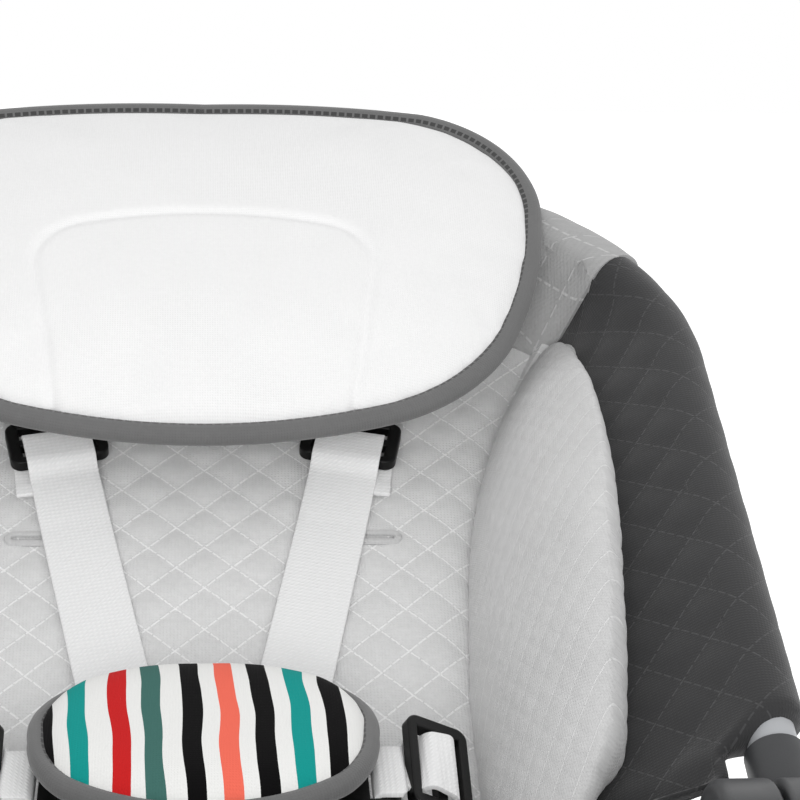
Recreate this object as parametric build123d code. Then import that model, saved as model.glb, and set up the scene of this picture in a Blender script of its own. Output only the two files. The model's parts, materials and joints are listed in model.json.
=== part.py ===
from build123d import *
from math import asin, atan2, cos, degrees, hypot, radians, sin, sqrt, tan
import os

# Baby bouncer seat on a sprung tube base, in millimetres and degrees. The floor is z = 0, the seat faces
# -Y and its head end is towards +Y. The origin is on the floor, under the middle of the base. Left and
# right are as seen from the front, so right is +X.

# Steel tubes
HOOP_R = 8.0
BASE_R = 7.0
TUBE_WALL = 1.2
SOCKET_FIT = 0.1
SOCKET_WALL = 1.65

# Base
BASE_LENGTH = 632.0
BASE_Z = 14.0
REAR_X = 178.0
REAR_CORNER_R = 70.0
RAIL_STRAIGHT = 60.0
RAIL_SPLAY_R = 200.0
BEND_R = 40.0
ARM_FOOT = 30.0
FOOT_WALL = 4.5
FRONT_FOOT_LENGTH = 64.0
REAR_FOOT_LENGTH = 52.0
REAR_FOOT_X = 78.0
FOOT_ROUND = 2.0

# Hubs, where the spring arms, the seat hoop and the back hoop meet
HUB_Y = -40.0
HUB_Z = 215.0
HUB_R = 31.0
HUB_T = 18.0
HUB_ROUND = 3.5
HUB_GAP = 0.3
SOCKET_START = 26.0
SOCKET_LENGTH = 52.0
TUBE_INSERT = 28.0
INNER_X = 155.0
WASHER_T = 1.2
WASHER_R = 24.0
BOLT_R = 4.0
BOLT_CLEARANCE = 0.06
BOLT_HEAD_R = 7.5
BOLT_HEAD_T = 4.0
NUT_ACROSS = 13.0
NUT_T = 4.5
BUTTON_R = 12.6
BUTTON_WALL = 2.0
BUTTON_PROUD = 3.0
BUTTON_TRAVEL = 4.0
BUTTON_CLEARANCE = 0.3
POCKET_DEPTH = 11.5
SPRING_T = 0.8

# Angles above the horizontal of the back hoop, the back pad and the seat, and the layout of the two hoops
HOOP_ANGLE = 26.0
BACK_ANGLE = 30.0
SEAT_ANGLE = 10.0
SEAT_LENGTH = 258.0
SEAT_CORNER_R = 95.0
SHOULDER_S = 255.0
ARCH_RISE = 125.0
ARCH_SHOULDER_R = 110.0
SPLIT_ANGLE = 32.0

# Cloth. PAD_DEPTH is from the hub's axis down to the pads.
TUNNEL_T = 2.7
CLOTH_GAP = 0.3
CLOTH_T = 3.0
PAD_DEPTH = 46.0
PAD_T = 10.0
PAD_CROWN = 2.0
PAD_MARGIN = 2.0
HUB_CLEAR_X = 132.0
EDGE_ANGLE = 35.0

# Cuts across the back sling: distance up from the hub, or down from the arch's top, and half width of the floor
HUB_CUTS = (36.0, 66.0)
FLOOR_X = 90.0
BACK_LOW_CUTS = ((120, 90), (182, 95))
BACK_HIGH_CUTS = ((170, 100), (141, 108), (124, 114), (100, 124), (83, 134))
# Cuts across the head panel: distance down from the arch's top, half width and height of the floor
HEAD_CUTS = ((68, 125, -4), (54, 112, 2), (43, 98, 4), (33, 82, 6), (25, 64, 8), (19, 48, 10))
# Cuts across the seat sling: distance back from the hoop's front, half width and rise of the floor
SEAT_CUTS = ((108, 90, 0), (58, 86, 8), (28, 80, 26), (15, 72, 36))
# Cuts across a bolster: distance as above, ridge across and above the pad, width of the wing covered
BOLSTER_LOW_CUTS = (
    (36, 110, 31, 38),
    (50, 119, 39, 42),
    (66, 126, 46, 48),
    (92, 130, 51, 48),
    (120, 133, 54, 48),
    (182, 138, 54, 50),
)
BOLSTER_HIGH_CUTS = (
    (170, 139, 50, 44),
    (141, 139, 42, 35),
    (124, 140, 32, 28),
    (100, 140, 17, 20),
    (85, 138, 9, 10),
)
BOLSTER_GAP = 1.0
BOLSTER_BULGE = 4.0
BOLSTER_SWELL = 0.14  # rise of the inner face over its chord, as a share of the chord

# Head pillow, its middle below the arch's top: right half of its outline from the top centre, as pairs of arc
# end and point on the arc
PILLOW_DROP = 70.3
PILLOW_TILT = 2.6
PILLOW_TOP = (0.0, 93.0)
PILLOW_ARCS = (
    ((89.0, 87.6), (50.0, 92.4)),
    ((132.4, 19.0), (119.5, 67.5)),
    ((115.0, -49.0), (127.0, -14.0)),
    ((69.0, -90.0), (96.0, -74.0)),
    ((0.0, -101.0), (36.0, -98.0)),
)
PILLOW_FRONT = 17.0
PILLOW_BACK = 6.0
PILLOW_BINDING = 8.0

# Tummy pad, drawn in the same way on a plane of its own, its middle behind and above the hub's axis
TUMMY_BEHIND = 53.5
TUMMY_ABOVE = 24.2
TUMMY_ANGLE = 14.5
TUMMY_TOP = (0.0, 48.0)
TUMMY_ARCS = (
    ((40.0, 40.0), (22.0, 46.5)),
    ((53.7, 6.0), (51.5, 25.0)),
    ((43.6, -20.7), (51.0, -9.0)),
    ((0.0, -36.0), (25.0, -31.5)),
)
TUMMY_FRONT = 10.0
TUMMY_BACK = 4.0
TUMMY_BINDING = 6.0
BINDING_T = 7.0

# Harness
WEB_WIDTH = 25.0
WEB_T = 1.6
SLOT_LENGTH = 31.0
SLOT_WIDTH = 8.0
SLOT_X = 57.0
SLOT_ROWS = (252.0, 192.6)
STRAP_ANGLE = 11.6
STRAP_RUN = 150.0
STRAP_RISE_RUN = 26.0
STRAP_RISE = 10.0
STRAP_BEND_R = 3.0
STRAP_EASE_R = 40.0
ANCHOR_WIDTH = 12.0
ANCHOR_T = 3.0
ADJUSTER_LENGTH = 36.0
ADJUSTER_WIDTH = 22.0
ADJUSTER_T = 4.0
ADJUSTER_BAR = 3.4
ADJUSTER_ROUND = 4.0
ADJUSTER_RUN = 14.0
WAIST_UP = 62.0
WAIST_SEAM_X = 86.0
WAIST_BEND = (81.0, 18.0)
CROTCH_FORWARD = 60.0
CROTCH_RISE = 34.0
CROTCH_TAIL = 30.0
CROTCH_EASE_R = 30.0
BUCKLE_X = 46.0
BUCKLE_Y = 42.0
BUCKLE_T = 13.0
BUCKLE_ROUND = 9.0
BUCKLE_BUTTON_R = 10.5
BUCKLE_BUTTON_PROUD = 1.0
BUCKLE_BUTTON_DEPTH = 7.0
BUCKLE_BUTTON_TRAVEL = 3.0
TONGUE_IN = 12.0
TONGUE_REACH = 60.0
TONGUE_WIDTH = 30.0
TONGUE_STEM = 18.0
TONGUE_T = 5.0
TONGUE_EYE = 4.0

# Values that follow from the sizes above
SOCKET_R = HOOP_R + SOCKET_FIT + SOCKET_WALL
OUTER_X = INNER_X + HUB_T + WASHER_T + HUB_GAP
TUNNEL_IN = HOOP_R + CLOTH_GAP
TUNNEL_OUT = TUNNEL_IN + TUNNEL_T
FLOOR = -(PAD_T + CLOTH_GAP)
BUCKLE_DROP = TUMMY_BACK + CLOTH_GAP + BUCKLE_BUTTON_PROUD
HOOP_DROP = tan(radians(BACK_ANGLE - HOOP_ANGLE))
ARCH_TOP = (SHOULDER_S + ARCH_RISE) * cos(radians(BACK_ANGLE - HOOP_ANGLE))
PILLOW_UP = ARCH_TOP - PILLOW_DROP
PILLOW_RISE = PAD_DEPTH - PILLOW_UP * HOOP_DROP + TUNNEL_OUT
EDGE_IN = (TUNNEL_OUT + 2 * CLOTH_GAP) * cos(radians(EDGE_ANGLE))
EDGE_DOWN = (TUNNEL_OUT + 2 * CLOTH_GAP) * sin(radians(EDGE_ANGLE))
BEND_Y = -BASE_LENGTH / 2 + BASE_R + BEND_R
BEND_Z = BASE_Z + BEND_R
REAR_Y = BASE_LENGTH / 2 - BASE_R
JOINT_Y = BEND_Y + ARM_FOOT
ARM_ANGLE = degrees(
    atan2(HUB_Z - BEND_Z, HUB_Y - BEND_Y) - asin(BEND_R / hypot(HUB_Z - BEND_Z, HUB_Y - BEND_Y))
)
HUB = Vector(0, HUB_Y, HUB_Z)


def inclined(origin, angle, facing=1):
    """A plane whose y runs up a slope, away from the hub, and whose normal leans over the sitter."""
    lean = radians(angle)
    return Plane(origin, x_dir=(facing, 0, 0), z_dir=(0, -facing * sin(lean), cos(lean)))


# The hoop planes hold the hub's axis. The pad planes are the faces of the pads, PAD_DEPTH below it.
BACK = inclined(HUB, HOOP_ANGLE)
SEAT = inclined(HUB, SEAT_ANGLE, -1)
BACK_PAD = inclined(HUB - inclined(HUB, BACK_ANGLE).z_dir * PAD_DEPTH, BACK_ANGLE)
SEAT_PAD = inclined(HUB - SEAT.z_dir * PAD_DEPTH, SEAT_ANGLE, -1)
PILLOW = BACK_PAD * Pos(0, PILLOW_UP, PILLOW_RISE) * Rot(PILLOW_TILT, 0, 0)
TUMMY = inclined(HUB + Vector(0, TUMMY_BEHIND, TUMMY_ABOVE), TUMMY_ANGLE)


def tube(path, outer, inner):
    """A hollow tube along a path."""
    start = Plane(path @ 0, z_dir=path % 0)
    return sweep(start * (Circle(outer) - Circle(inner)), path=path)


def both_sides(name, right):
    """The right piece and its mirror image, by name."""
    return {f"{name}_right": right, f"{name}_left": mirror(right, about=Plane.YZ)}


def across(s):
    """The plane that cuts a hoop's cloth square at a distance from the hub, with x across and y up."""
    return Plane.XZ.offset(-s)


# Base


def spring_arm():
    """The right hairpin arm, from its joint with the rail to the hub's socket."""
    arm = Vector(0, cos(radians(ARM_ANGLE)), sin(radians(ARM_ANGLE)))
    bend = Vector(INNER_X, BEND_Y, BEND_Z)
    top = bend + Vector(0, -arm.Z, arm.Y) * BEND_R
    half = radians((180 - ARM_ANGLE) / 2)
    middle = bend + Vector(0, -sin(half), -cos(half)) * BEND_R
    foot = Vector(INNER_X, BEND_Y, BASE_Z)
    end = HUB + Vector(INNER_X, 0, 0) - arm * TUBE_INSERT
    path = Wire(
        [
            Line((INNER_X, JOINT_Y, BASE_Z), foot).edge(),
            ThreePointArc(foot, middle, top).edge(),
            Line(top, end).edge(),
        ]
    )
    return tube(path, BASE_R, BASE_R - TUBE_WALL)


def base_hoop():
    """The rails and the rear bar, one tube."""
    right = [
        (INNER_X, JOINT_Y, BASE_Z),
        (INNER_X, JOINT_Y + RAIL_STRAIGHT, BASE_Z),
        (REAR_X, REAR_Y, BASE_Z),
    ]
    left = [(-x, y, z) for x, y, z in reversed(right)]
    radii = [RAIL_SPLAY_R, REAR_CORNER_R, REAR_CORNER_R, RAIL_SPLAY_R]
    return tube(FilletPolyline(right + left, radius=radii), BASE_R, BASE_R - TUBE_WALL)


def foot(length):
    """A rubber foot round a tube along z, its flat sole at y = -BASE_Z."""
    outer = BASE_R + FOOT_WALL
    profile = Circle(outer) + Pos(0, -BASE_Z / 2) * Rectangle(2 * outer, BASE_Z)
    block = extrude(profile, amount=length / 2, both=True)
    block = fillet(block.faces().filter_by(Axis.Z).edges(), FOOT_ROUND)
    return block - Cylinder(BASE_R + SOCKET_FIT, length * 2)


def front_foot():
    """The right front foot, over the joint of arm and rail."""
    return Plane((INNER_X, JOINT_Y, BASE_Z), x_dir=(1, 0, 0), z_dir=(0, -1, 0)) * foot(FRONT_FOOT_LENGTH)


def rear_foot():
    """The right rear foot, on the rear bar."""
    return Plane((REAR_FOOT_X, REAR_Y, BASE_Z), x_dir=(0, 1, 0), z_dir=(1, 0, 0)) * foot(REAR_FOOT_LENGTH)


# Hubs


def hub_disc(x, inner_round, outer_round):
    """A hub half's disc, its axis along X, centred on x."""
    disc = Cylinder(HUB_R, HUB_T)
    disc = fillet(disc.edges().sort_by(Axis.Z)[-1], outer_round)
    disc = fillet(disc.edges().sort_by(Axis.Z)[0], inner_round)
    return Plane((x, HUB_Y, HUB_Z), z_dir=(1, 0, 0)) * disc


def socket(x, direction, radius, start):
    """A round bar along a direction, from a distance off the hub's axis, for a tube socket or its bore."""
    bar = Cylinder(radius, SOCKET_LENGTH - start, align=(Align.CENTER, Align.CENTER, Align.MIN))
    return Plane((x, HUB_Y, HUB_Z), z_dir=direction) * Pos(0, 0, start) * bar


def x_bar(radius, x0, x1):
    """A round bar on the hub's axis from x0 to x1."""
    bar = Cylinder(radius, x1 - x0, align=(Align.CENTER, Align.CENTER, Align.MIN))
    return Plane((x0, HUB_Y, HUB_Z), z_dir=(1, 0, 0)) * bar


def hub_inner():
    """The right inner half: it takes the spring arm and the seat hoop."""
    forward = SEAT.y_dir
    down = Vector(0, -cos(radians(ARM_ANGLE)), -sin(radians(ARM_ANGLE)))
    arm_r = BASE_R + SOCKET_FIT + SOCKET_WALL
    half = hub_disc(INNER_X, HUB_ROUND, FOOT_ROUND)
    half += socket(INNER_X, forward, SOCKET_R, SOCKET_START)
    half += socket(INNER_X, down, arm_r, SOCKET_START)
    half -= socket(INNER_X, forward, HOOP_R + SOCKET_FIT, TUBE_INSERT)
    half -= socket(INNER_X, down, BASE_R + SOCKET_FIT, TUBE_INSERT)
    return half - x_bar(BOLT_R + SOCKET_FIT, INNER_X - HUB_T, INNER_X + HUB_T)


def pocket_floor():
    """The x of the button pocket's floor in the right outer half."""
    return OUTER_X + HUB_T / 2 - POCKET_DEPTH


def hub_outer():
    """The right outer half: it takes the back hoop and the button."""
    half = hub_disc(OUTER_X, FOOT_ROUND, HUB_ROUND)
    half += socket(OUTER_X, BACK.y_dir, SOCKET_R, SOCKET_START)
    half -= socket(OUTER_X, BACK.y_dir, HOOP_R + SOCKET_FIT, TUBE_INSERT)
    half -= x_bar(BOLT_R + BOLT_CLEARANCE, INNER_X, OUTER_X + HUB_T)
    return half - x_bar(BUTTON_R + BUTTON_CLEARANCE, pocket_floor(), OUTER_X + HUB_T)


def friction_washer():
    """The right washer between the hub halves, against the inner one."""
    face = INNER_X + HUB_T / 2
    return x_bar(WASHER_R, face, face + WASHER_T) - x_bar(BOLT_R + SOCKET_FIT, face, face + WASHER_T)


def pivot_bolt():
    """The right pivot bolt with its nut run home."""
    head = INNER_X - HUB_T / 2
    nut = pocket_floor() + HUB_GAP
    bolt = x_bar(BOLT_HEAD_R, head - BOLT_HEAD_T, head)
    bolt = fillet(bolt.edges().sort_by(Axis.X)[0], FOOT_ROUND)
    bolt += x_bar(BOLT_R, head, nut + NUT_T + SPRING_T)
    hexagon = RegularPolygon(NUT_ACROSS / 2, 6, major_radius=False)
    return bolt + Plane((nut, HUB_Y, HUB_Z), z_dir=(1, 0, 0)) * extrude(hexagon, NUT_T)


def button_skirt():
    """The x of the right recline button's lower rim at rest."""
    return pocket_floor() + BUTTON_TRAVEL + 2 * BUTTON_CLEARANCE


def recline_button():
    """The right recline button, a domed cup."""
    top = OUTER_X + HUB_T / 2 + BUTTON_PROUD
    cup = x_bar(BUTTON_R, button_skirt(), top)
    cup = fillet(cup.edges().sort_by(Axis.X)[-1], BUTTON_PROUD)
    return cup - x_bar(BUTTON_R - BUTTON_WALL, button_skirt(), top - BUTTON_PROUD)


def button_spring():
    """The right conical spring washer, from the pocket's floor to the button."""
    low = pocket_floor()
    high = OUTER_X + HUB_T / 2
    wide = BUTTON_R - BUTTON_WALL - BUTTON_CLEARANCE
    narrow = NUT_ACROSS / sqrt(3) + BUTTON_CLEARANCE
    profile = Polyline(
        (wide - SPRING_T, low), (wide, low), (narrow + SPRING_T, high), (narrow, high), close=True
    )
    ring = revolve(Plane.XZ * make_face(profile), Axis.Z)
    return Plane((0, HUB_Y, HUB_Z), z_dir=(1, 0, 0)) * ring


# Hoops and the cloth sleeves on them


def seat_run(start):
    """The seat hoop's line in the seat plane, from a distance off the hub round to the other side."""
    points = [(-INNER_X, start), (-INNER_X, SEAT_LENGTH), (INNER_X, SEAT_LENGTH), (INNER_X, start)]
    return FilletPolyline(points, radius=[SEAT_CORNER_R, SEAT_CORNER_R])


def arch_top_r():
    """The radius of the arch's top, tangent to its two shoulders."""
    side = OUTER_X - ARCH_SHOULDER_R
    rise = ARCH_RISE - ARCH_SHOULDER_R
    return (side**2 + ARCH_RISE**2 - ARCH_SHOULDER_R**2) / (2 * rise)


def shoulder_point(angle):
    """A point of the back hoop's right shoulder, at an angle above the cross line."""
    x = OUTER_X - ARCH_SHOULDER_R + ARCH_SHOULDER_R * cos(radians(angle))
    return (x, SHOULDER_S + ARCH_SHOULDER_R * sin(radians(angle)))


def shoulder_end():
    """The angle at which a shoulder runs into the arch's top."""
    drop = arch_top_r() - ARCH_RISE
    return degrees(atan2(drop, OUTER_X - ARCH_SHOULDER_R))


def shoulder_arc(start, end):
    """The right shoulder between two angles."""
    return ThreePointArc(shoulder_point(start), shoulder_point((start + end) / 2), shoulder_point(end))


def arch_run(start):
    """The arch from a shoulder angle on the right to the same on the left."""
    right = shoulder_arc(start, shoulder_end())
    x, s = shoulder_point(shoulder_end())
    top = ThreePointArc((x, s), (0, SHOULDER_S + ARCH_RISE), (-x, s))
    left = mirror(right, about=Plane.YZ)
    return Wire([right.edge(), top.edge(), left.edge()])


def arch_x(s, inset):
    """Half the width inside the back hoop's line, drawn in by an inset, at a distance from the hub."""
    if s <= SHOULDER_S:
        return OUTER_X - inset
    shoulder = ARCH_SHOULDER_R - inset
    if s <= SHOULDER_S + shoulder * sin(radians(shoulder_end())):
        return OUTER_X - ARCH_SHOULDER_R + sqrt(shoulder**2 - (s - SHOULDER_S) ** 2)
    return sqrt((arch_top_r() - inset) ** 2 - (s - SHOULDER_S - ARCH_RISE + arch_top_r()) ** 2)


def back_hoop():
    """The back hoop: two straight sides and the arch."""
    x, s = OUTER_X, SHOULDER_S
    up = Line((x, TUBE_INSERT), (x, s)).edge()
    down = Line((-x, s), (-x, TUBE_INSERT)).edge()
    path = Wire([up] + arch_run(0).edges() + [down])
    return BACK * tube(path, HOOP_R, HOOP_R - TUBE_WALL)


def back_tunnel():
    """The right cloth sleeve on the back hoop, from the hub to the light head panel."""
    side = Line((OUTER_X, SOCKET_LENGTH + CLOTH_T), (OUTER_X, SHOULDER_S)).edge()
    path = Wire([side, shoulder_arc(0, SPLIT_ANGLE).edge()])
    return BACK * tube(path, TUNNEL_OUT, TUNNEL_IN)


# Slings and pads, drawn on the pad planes with x across, y away from the hub and z up from the pad


def head_tunnel():
    """The light cloth sleeve over the top of the back hoop."""
    return BACK * tube(arch_run(SPLIT_ANGLE), TUNNEL_OUT, TUNNEL_IN)


def seat_tunnel():
    """The cloth sleeve round the seat hoop."""
    return SEAT * tube(seat_run(SOCKET_LENGTH + CLOTH_T), TUNNEL_OUT, TUNNEL_IN)


def seat_x(y, inset):
    """Half the width inside the seat hoop's line, drawn in by an inset, at a distance from the hub."""
    past = y - SEAT_LENGTH + SEAT_CORNER_R
    if past <= 0:
        return INNER_X - inset
    return INNER_X - SEAT_CORNER_R + sqrt((SEAT_CORNER_R - inset) ** 2 - past**2)


def back_edge(y):
    """Where the back sling is sewn to its sleeve, across and up, by distance from the hub."""
    z = PAD_DEPTH - y * HOOP_DROP - EDGE_DOWN
    if y < SOCKET_LENGTH:
        return HUB_CLEAR_X, z
    return arch_x(y / cos(radians(BACK_ANGLE - HOOP_ANGLE)), EDGE_IN), z


def seat_edge(y):
    """Where the seat sling is sewn to its sleeve, across and up, by distance from the hub."""
    if y < SOCKET_LENGTH:
        return HUB_CLEAR_X, PAD_DEPTH - EDGE_DOWN
    return seat_x(y, EDGE_IN), PAD_DEPTH - EDGE_DOWN


def sling_cut(y, floor_x, floor_z, edge):
    """A cut through a sling: a flat floor and two sides that rise to the hoop."""
    edge_x, edge_z = edge
    run = Vector(edge_x - floor_x, edge_z - floor_z).normalized()
    out_x, out_z = edge_x + run.Y * CLOTH_T, edge_z - run.X * CLOTH_T
    corner = out_x - (out_z - floor_z + CLOTH_T) * run.X / run.Y
    right = [(floor_x, floor_z), (edge_x, edge_z), (out_x, out_z), (corner, floor_z - CLOTH_T)]
    left = [(-x, z) for x, z in reversed(right)]
    return across(y) * make_face(Polyline(right + left, close=True))


def pad_cut(y, half, lift):
    """A cut through a quilted pad: flat below, crowned above."""
    side = lift - PAD_CROWN
    lines = Polyline((-half, side), (-half, lift - PAD_T), (half, lift - PAD_T), (half, side))
    crown = ThreePointArc((half, side), (0, lift), (-half, side))
    return across(y) * make_face(lines + crown)


def hip_wedge(cut):
    """The cloth that runs on from the seat round the hub's axis to the foot of the back."""
    hub_axis = Axis((0, 0, PAD_DEPTH), (-1, 0, 0))
    return revolve(cut, hub_axis, revolution_arc=BACK_ANGLE + SEAT_ANGLE)


def slot(x, y):
    """A cutter for a strap slot through a pad and its sling."""
    return Pos(x, y, 0) * extrude(SlotOverall(SLOT_LENGTH, SLOT_WIDTH), 2 * PAD_T, both=True)


def back_slots():
    """Cutters for the four shoulder strap slots."""
    return [slot(side * SLOT_X, y) for y in SLOT_ROWS for side in (1, -1)]


def from_top(cuts):
    """Cuts whose distances run down from the arch's top, with distances up from the hub instead."""
    return [(ARCH_TOP - cut[0],) + cut[1:] for cut in cuts]


def back_rows():
    """The back's cuts, from just clear of the hip up."""
    near = [(y, FLOOR_X) for y in (CLOTH_GAP,) + HUB_CUTS]
    return near + list(BACK_LOW_CUTS) + from_top(BACK_HIGH_CUTS)


def seat_rows():
    """The seat's cuts, from the hub forward."""
    near = [(y, FLOOR_X, 0) for y in (0.0,) + HUB_CUTS]
    return near + [(SEAT_LENGTH - back, x, rise) for back, x, rise in SEAT_CUTS]


def back_sling():
    """The dark outer cloth of the back, whose sides are the wings."""
    cuts = [sling_cut(y, x, FLOOR, back_edge(y)) for y, x in back_rows()]
    return BACK_PAD * (loft(cuts, ruled=True) - back_slots())


def back_pad():
    """The quilted liner of the back."""
    cuts = [pad_cut(y, x - PAD_MARGIN, 0) for y, x in back_rows()]
    return BACK_PAD * (loft(cuts, ruled=True) - back_slots())


def head_panel():
    """The light cloth above the back pad, up to the top of the hoop."""
    y, x = back_rows()[-1]
    rows = [(y + CLOTH_GAP, x, FLOOR)] + from_top(HEAD_CUTS)
    return BACK_PAD * loft([sling_cut(y, x, z, back_edge(y)) for y, x, z in rows], ruled=True)


def seat_sling():
    """The dark outer cloth of the seat, with the hip."""
    cuts = [sling_cut(y, x, FLOOR + z, seat_edge(y)) for y, x, z in seat_rows()]
    sling = loft(cuts, ruled=True) + hip_wedge(cuts[0])
    return SEAT_PAD * (sling - slot(0, CROTCH_FORWARD))


def seat_pad():
    """The quilted liner of the seat, with the hip."""
    cuts = [pad_cut(y, x - PAD_MARGIN, z) for y, x, z in seat_rows()[:-1]]
    pad = loft(cuts, ruled=True) + hip_wedge(cuts[0])
    return SEAT_PAD * (pad - slot(0, CROTCH_FORWARD))


def floor_x(y):
    """Half the width of the back sling's floor at a distance from the hub."""
    rows = back_rows()
    for (y0, x0), (y1, x1) in zip(rows, rows[1:]):
        if y <= y1:
            return x0 + (x1 - x0) * (y - y0) / (y1 - y0)


def bolster_cut(y, ridge_x, ridge_z, cover):
    """A cut through the right bolster: on the wing below, rounded over its ridge above."""
    foot_x = floor_x(y)
    edge_x, edge_z = back_edge(y)
    run = Vector(edge_x - foot_x, edge_z - FLOOR).normalized()
    lift = Vector(-run.Y, run.X) * BOLSTER_GAP
    outer = Vector(foot_x, FLOOR) + run * cover + lift
    inner = Vector(foot_x - PAD_MARGIN + BOLSTER_GAP, BOLSTER_GAP - PAD_CROWN)
    ridge = Vector(ridge_x, ridge_z)
    low = Vector(inner.X, FLOOR + BOLSTER_GAP)
    toe = Vector(foot_x, FLOOR) + lift
    chord = ridge - inner
    face = (inner + ridge) / 2 + Vector(-chord.Y, chord.X) * BOLSTER_SWELL
    fall = (outer - ridge).normalized()
    side = (ridge + outer) / 2 + Vector(-fall.Y, fall.X) * BOLSTER_BULGE
    below = Polyline(outer, toe, low, inner)
    above = ThreePointArc(inner, face, ridge) + ThreePointArc(ridge, side, outer)
    return across(y) * make_face(below + above)


def bolster():
    """The right side bolster, from its leaf tip down to the hip."""
    rows = list(BOLSTER_LOW_CUTS) + from_top(BOLSTER_HIGH_CUTS)
    return BACK_PAD * loft([bolster_cut(*cut) for cut in rows], ruled=True)


# Head pillow and tummy pad


def outline(top, arcs, share, z):
    """A symmetrical outline of arcs, drawn in or out about the origin by a share, at a height z."""
    edges = []
    start = Vector(*top) * share
    for end, middle in arcs:
        end, middle = Vector(*end) * share, Vector(*middle) * share
        edges.append(ThreePointArc(start, middle, end).edge())
        start = end
    edges += [mirror(edge, about=Plane.YZ) for edge in edges]
    return Pos(0, 0, z) * make_face(edges)


def crowned(top, arcs, share, front, back):
    """A crowned cushion inside an outline, thinner towards its edge."""
    below = [(0.7, -back), (0.95, -back / 2), (1.0, 0.0)]
    above = [(0.97, 0.35), (0.9, 0.62), (0.76, 0.84), (0.55, 0.96), (0.25, 1.0)]
    levels = below + [(scale, front * rise) for scale, rise in above]
    return loft([outline(top, arcs, share * scale, z) for scale, z in levels], ruled=True)


def binding(top, arcs, inner):
    """The rounded band sewn round a cushion's edge."""
    half = BINDING_T / 2
    rim = (1 + inner) / 2
    ring = loft([outline(top, arcs, share, z) for share, z in ((rim, -half), (1.0, 0.0), (rim, half))])
    return ring - extrude(outline(top, arcs, inner, 0), BINDING_T, both=True)


def inner_share(arcs, width):
    """The share of an outline that is left inside a binding of a width."""
    return 1 - width / max(end[0] for end, middle in arcs)


def cushion_pair(top, arcs, band, front, back):
    """A cushion and its binding, drawn flat."""
    inner = inner_share(arcs, band)
    body = inner_share(arcs, band + CLOTH_GAP)
    return crowned(top, arcs, body, front, back), binding(top, arcs, inner)


# Harness


def web(points, radii):
    """A strap along a line drawn with x along the strap and y up, its width centred on the plane."""
    line = FilletPolyline(points, radius=radii) if radii else Polyline(points)
    return extrude(trace(line, WEB_T), WEB_WIDTH / 2, both=True)


def strap_plane():
    """The right shoulder strap's plane: x down the strap, y up from the pad, from the upper slot."""
    lean = radians(STRAP_ANGLE)
    down = (-sin(lean), -cos(lean), 0)
    return Plane((SLOT_X, SLOT_ROWS[0], 0), x_dir=down, z_dir=(-cos(lean), sin(lean), 0))


def web_z():
    """The height of a strap's middle where it lies on a pad."""
    return CLOTH_GAP + WEB_T / 2


def anchor_z():
    """The height of the top of an anchor bar behind the back sling."""
    return FLOOR - CLOTH_T - CLOTH_GAP


def shoulder_strap():
    """The right shoulder strap, from behind the sling through its slot and down to the tummy pad."""
    points = [
        (0, anchor_z() - ANCHOR_T - WEB_T),
        (0, web_z()),
        (STRAP_RUN, web_z()),
        (STRAP_RUN + STRAP_RISE_RUN, web_z() + STRAP_RISE),
    ]
    return BACK_PAD * strap_plane() * web(points, [STRAP_BEND_R, STRAP_EASE_R])


def strap_anchor():
    """The right anchor bar that stops the shoulder strap behind the sling."""
    bar = SlotOverall(ADJUSTER_LENGTH, ANCHOR_WIDTH) - Rectangle(WEB_WIDTH + WEB_T, WEB_T + 2 * CLOTH_GAP)
    turn = Rot(0, 0, -STRAP_ANGLE)
    return BACK_PAD * Pos(SLOT_X, SLOT_ROWS[0], anchor_z()) * turn * extrude(bar, -ANCHOR_T)


def adjuster():
    """A ladder lock: a frame with two windows and a gripping bar, its strap along x."""
    window = (ADJUSTER_WIDTH - 3 * ADJUSTER_BAR) / 2
    frame = RectangleRounded(ADJUSTER_WIDTH, ADJUSTER_LENGTH, ADJUSTER_ROUND)
    for side in (1, -1):
        frame -= Pos(side * (window + ADJUSTER_BAR) / 2, 0) * Rectangle(window, WEB_WIDTH + WEB_T)
    plate = extrude(frame, ADJUSTER_T)
    straight = plate.edges().filter_by(GeomType.CIRCLE, reverse=True)
    return fillet(straight.group_by(Axis.Z)[-1], ADJUSTER_BAR / 4)


def shoulder_adjuster():
    """The right shoulder adjuster, on the strap just below its slot."""
    seat = Plane((ADJUSTER_RUN, web_z() + WEB_T / 2 + CLOTH_GAP, 0), x_dir=(1, 0, 0), z_dir=(0, 1, 0))
    return BACK_PAD.location * strap_plane().location * seat.location * adjuster()


def tongue_place():
    """The outer end of the right buckle tongue, across and up, in the back pad's frame."""
    end = BACK_PAD.to_local_coords(TUMMY.from_local_coords(Vector(TONGUE_REACH, 0, buckle_middle())))
    return end.X + 3 * CLOTH_GAP, end.Z


def waist_strap():
    """The right waist strap, from the seam beside the pad to the buckle tongue."""
    seam = (WAIST_SEAM_X, 2 * CLOTH_GAP - PAD_CROWN)
    points = [seam, WAIST_BEND, tongue_place()]
    return BACK_PAD * across(WAIST_UP) * web(points, [WEB_WIDTH / 4])


def waist_adjuster():
    """The right waist adjuster, on the strap between its bend and the tongue."""
    start, end = Vector(*WAIST_BEND), Vector(*tongue_place())
    along = (end - start).normalized()
    up = Vector(along.Y, -along.X)
    seat = Plane((start + end) / 2 + up * (WEB_T / 2 + CLOTH_GAP), x_dir=along, z_dir=up)
    return BACK_PAD.location * across(WAIST_UP).location * seat.location * adjuster()


def buckle_middle():
    """The height of the buckle's middle under the tummy pad's plane."""
    return -BUCKLE_DROP - BUCKLE_T / 2


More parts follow.
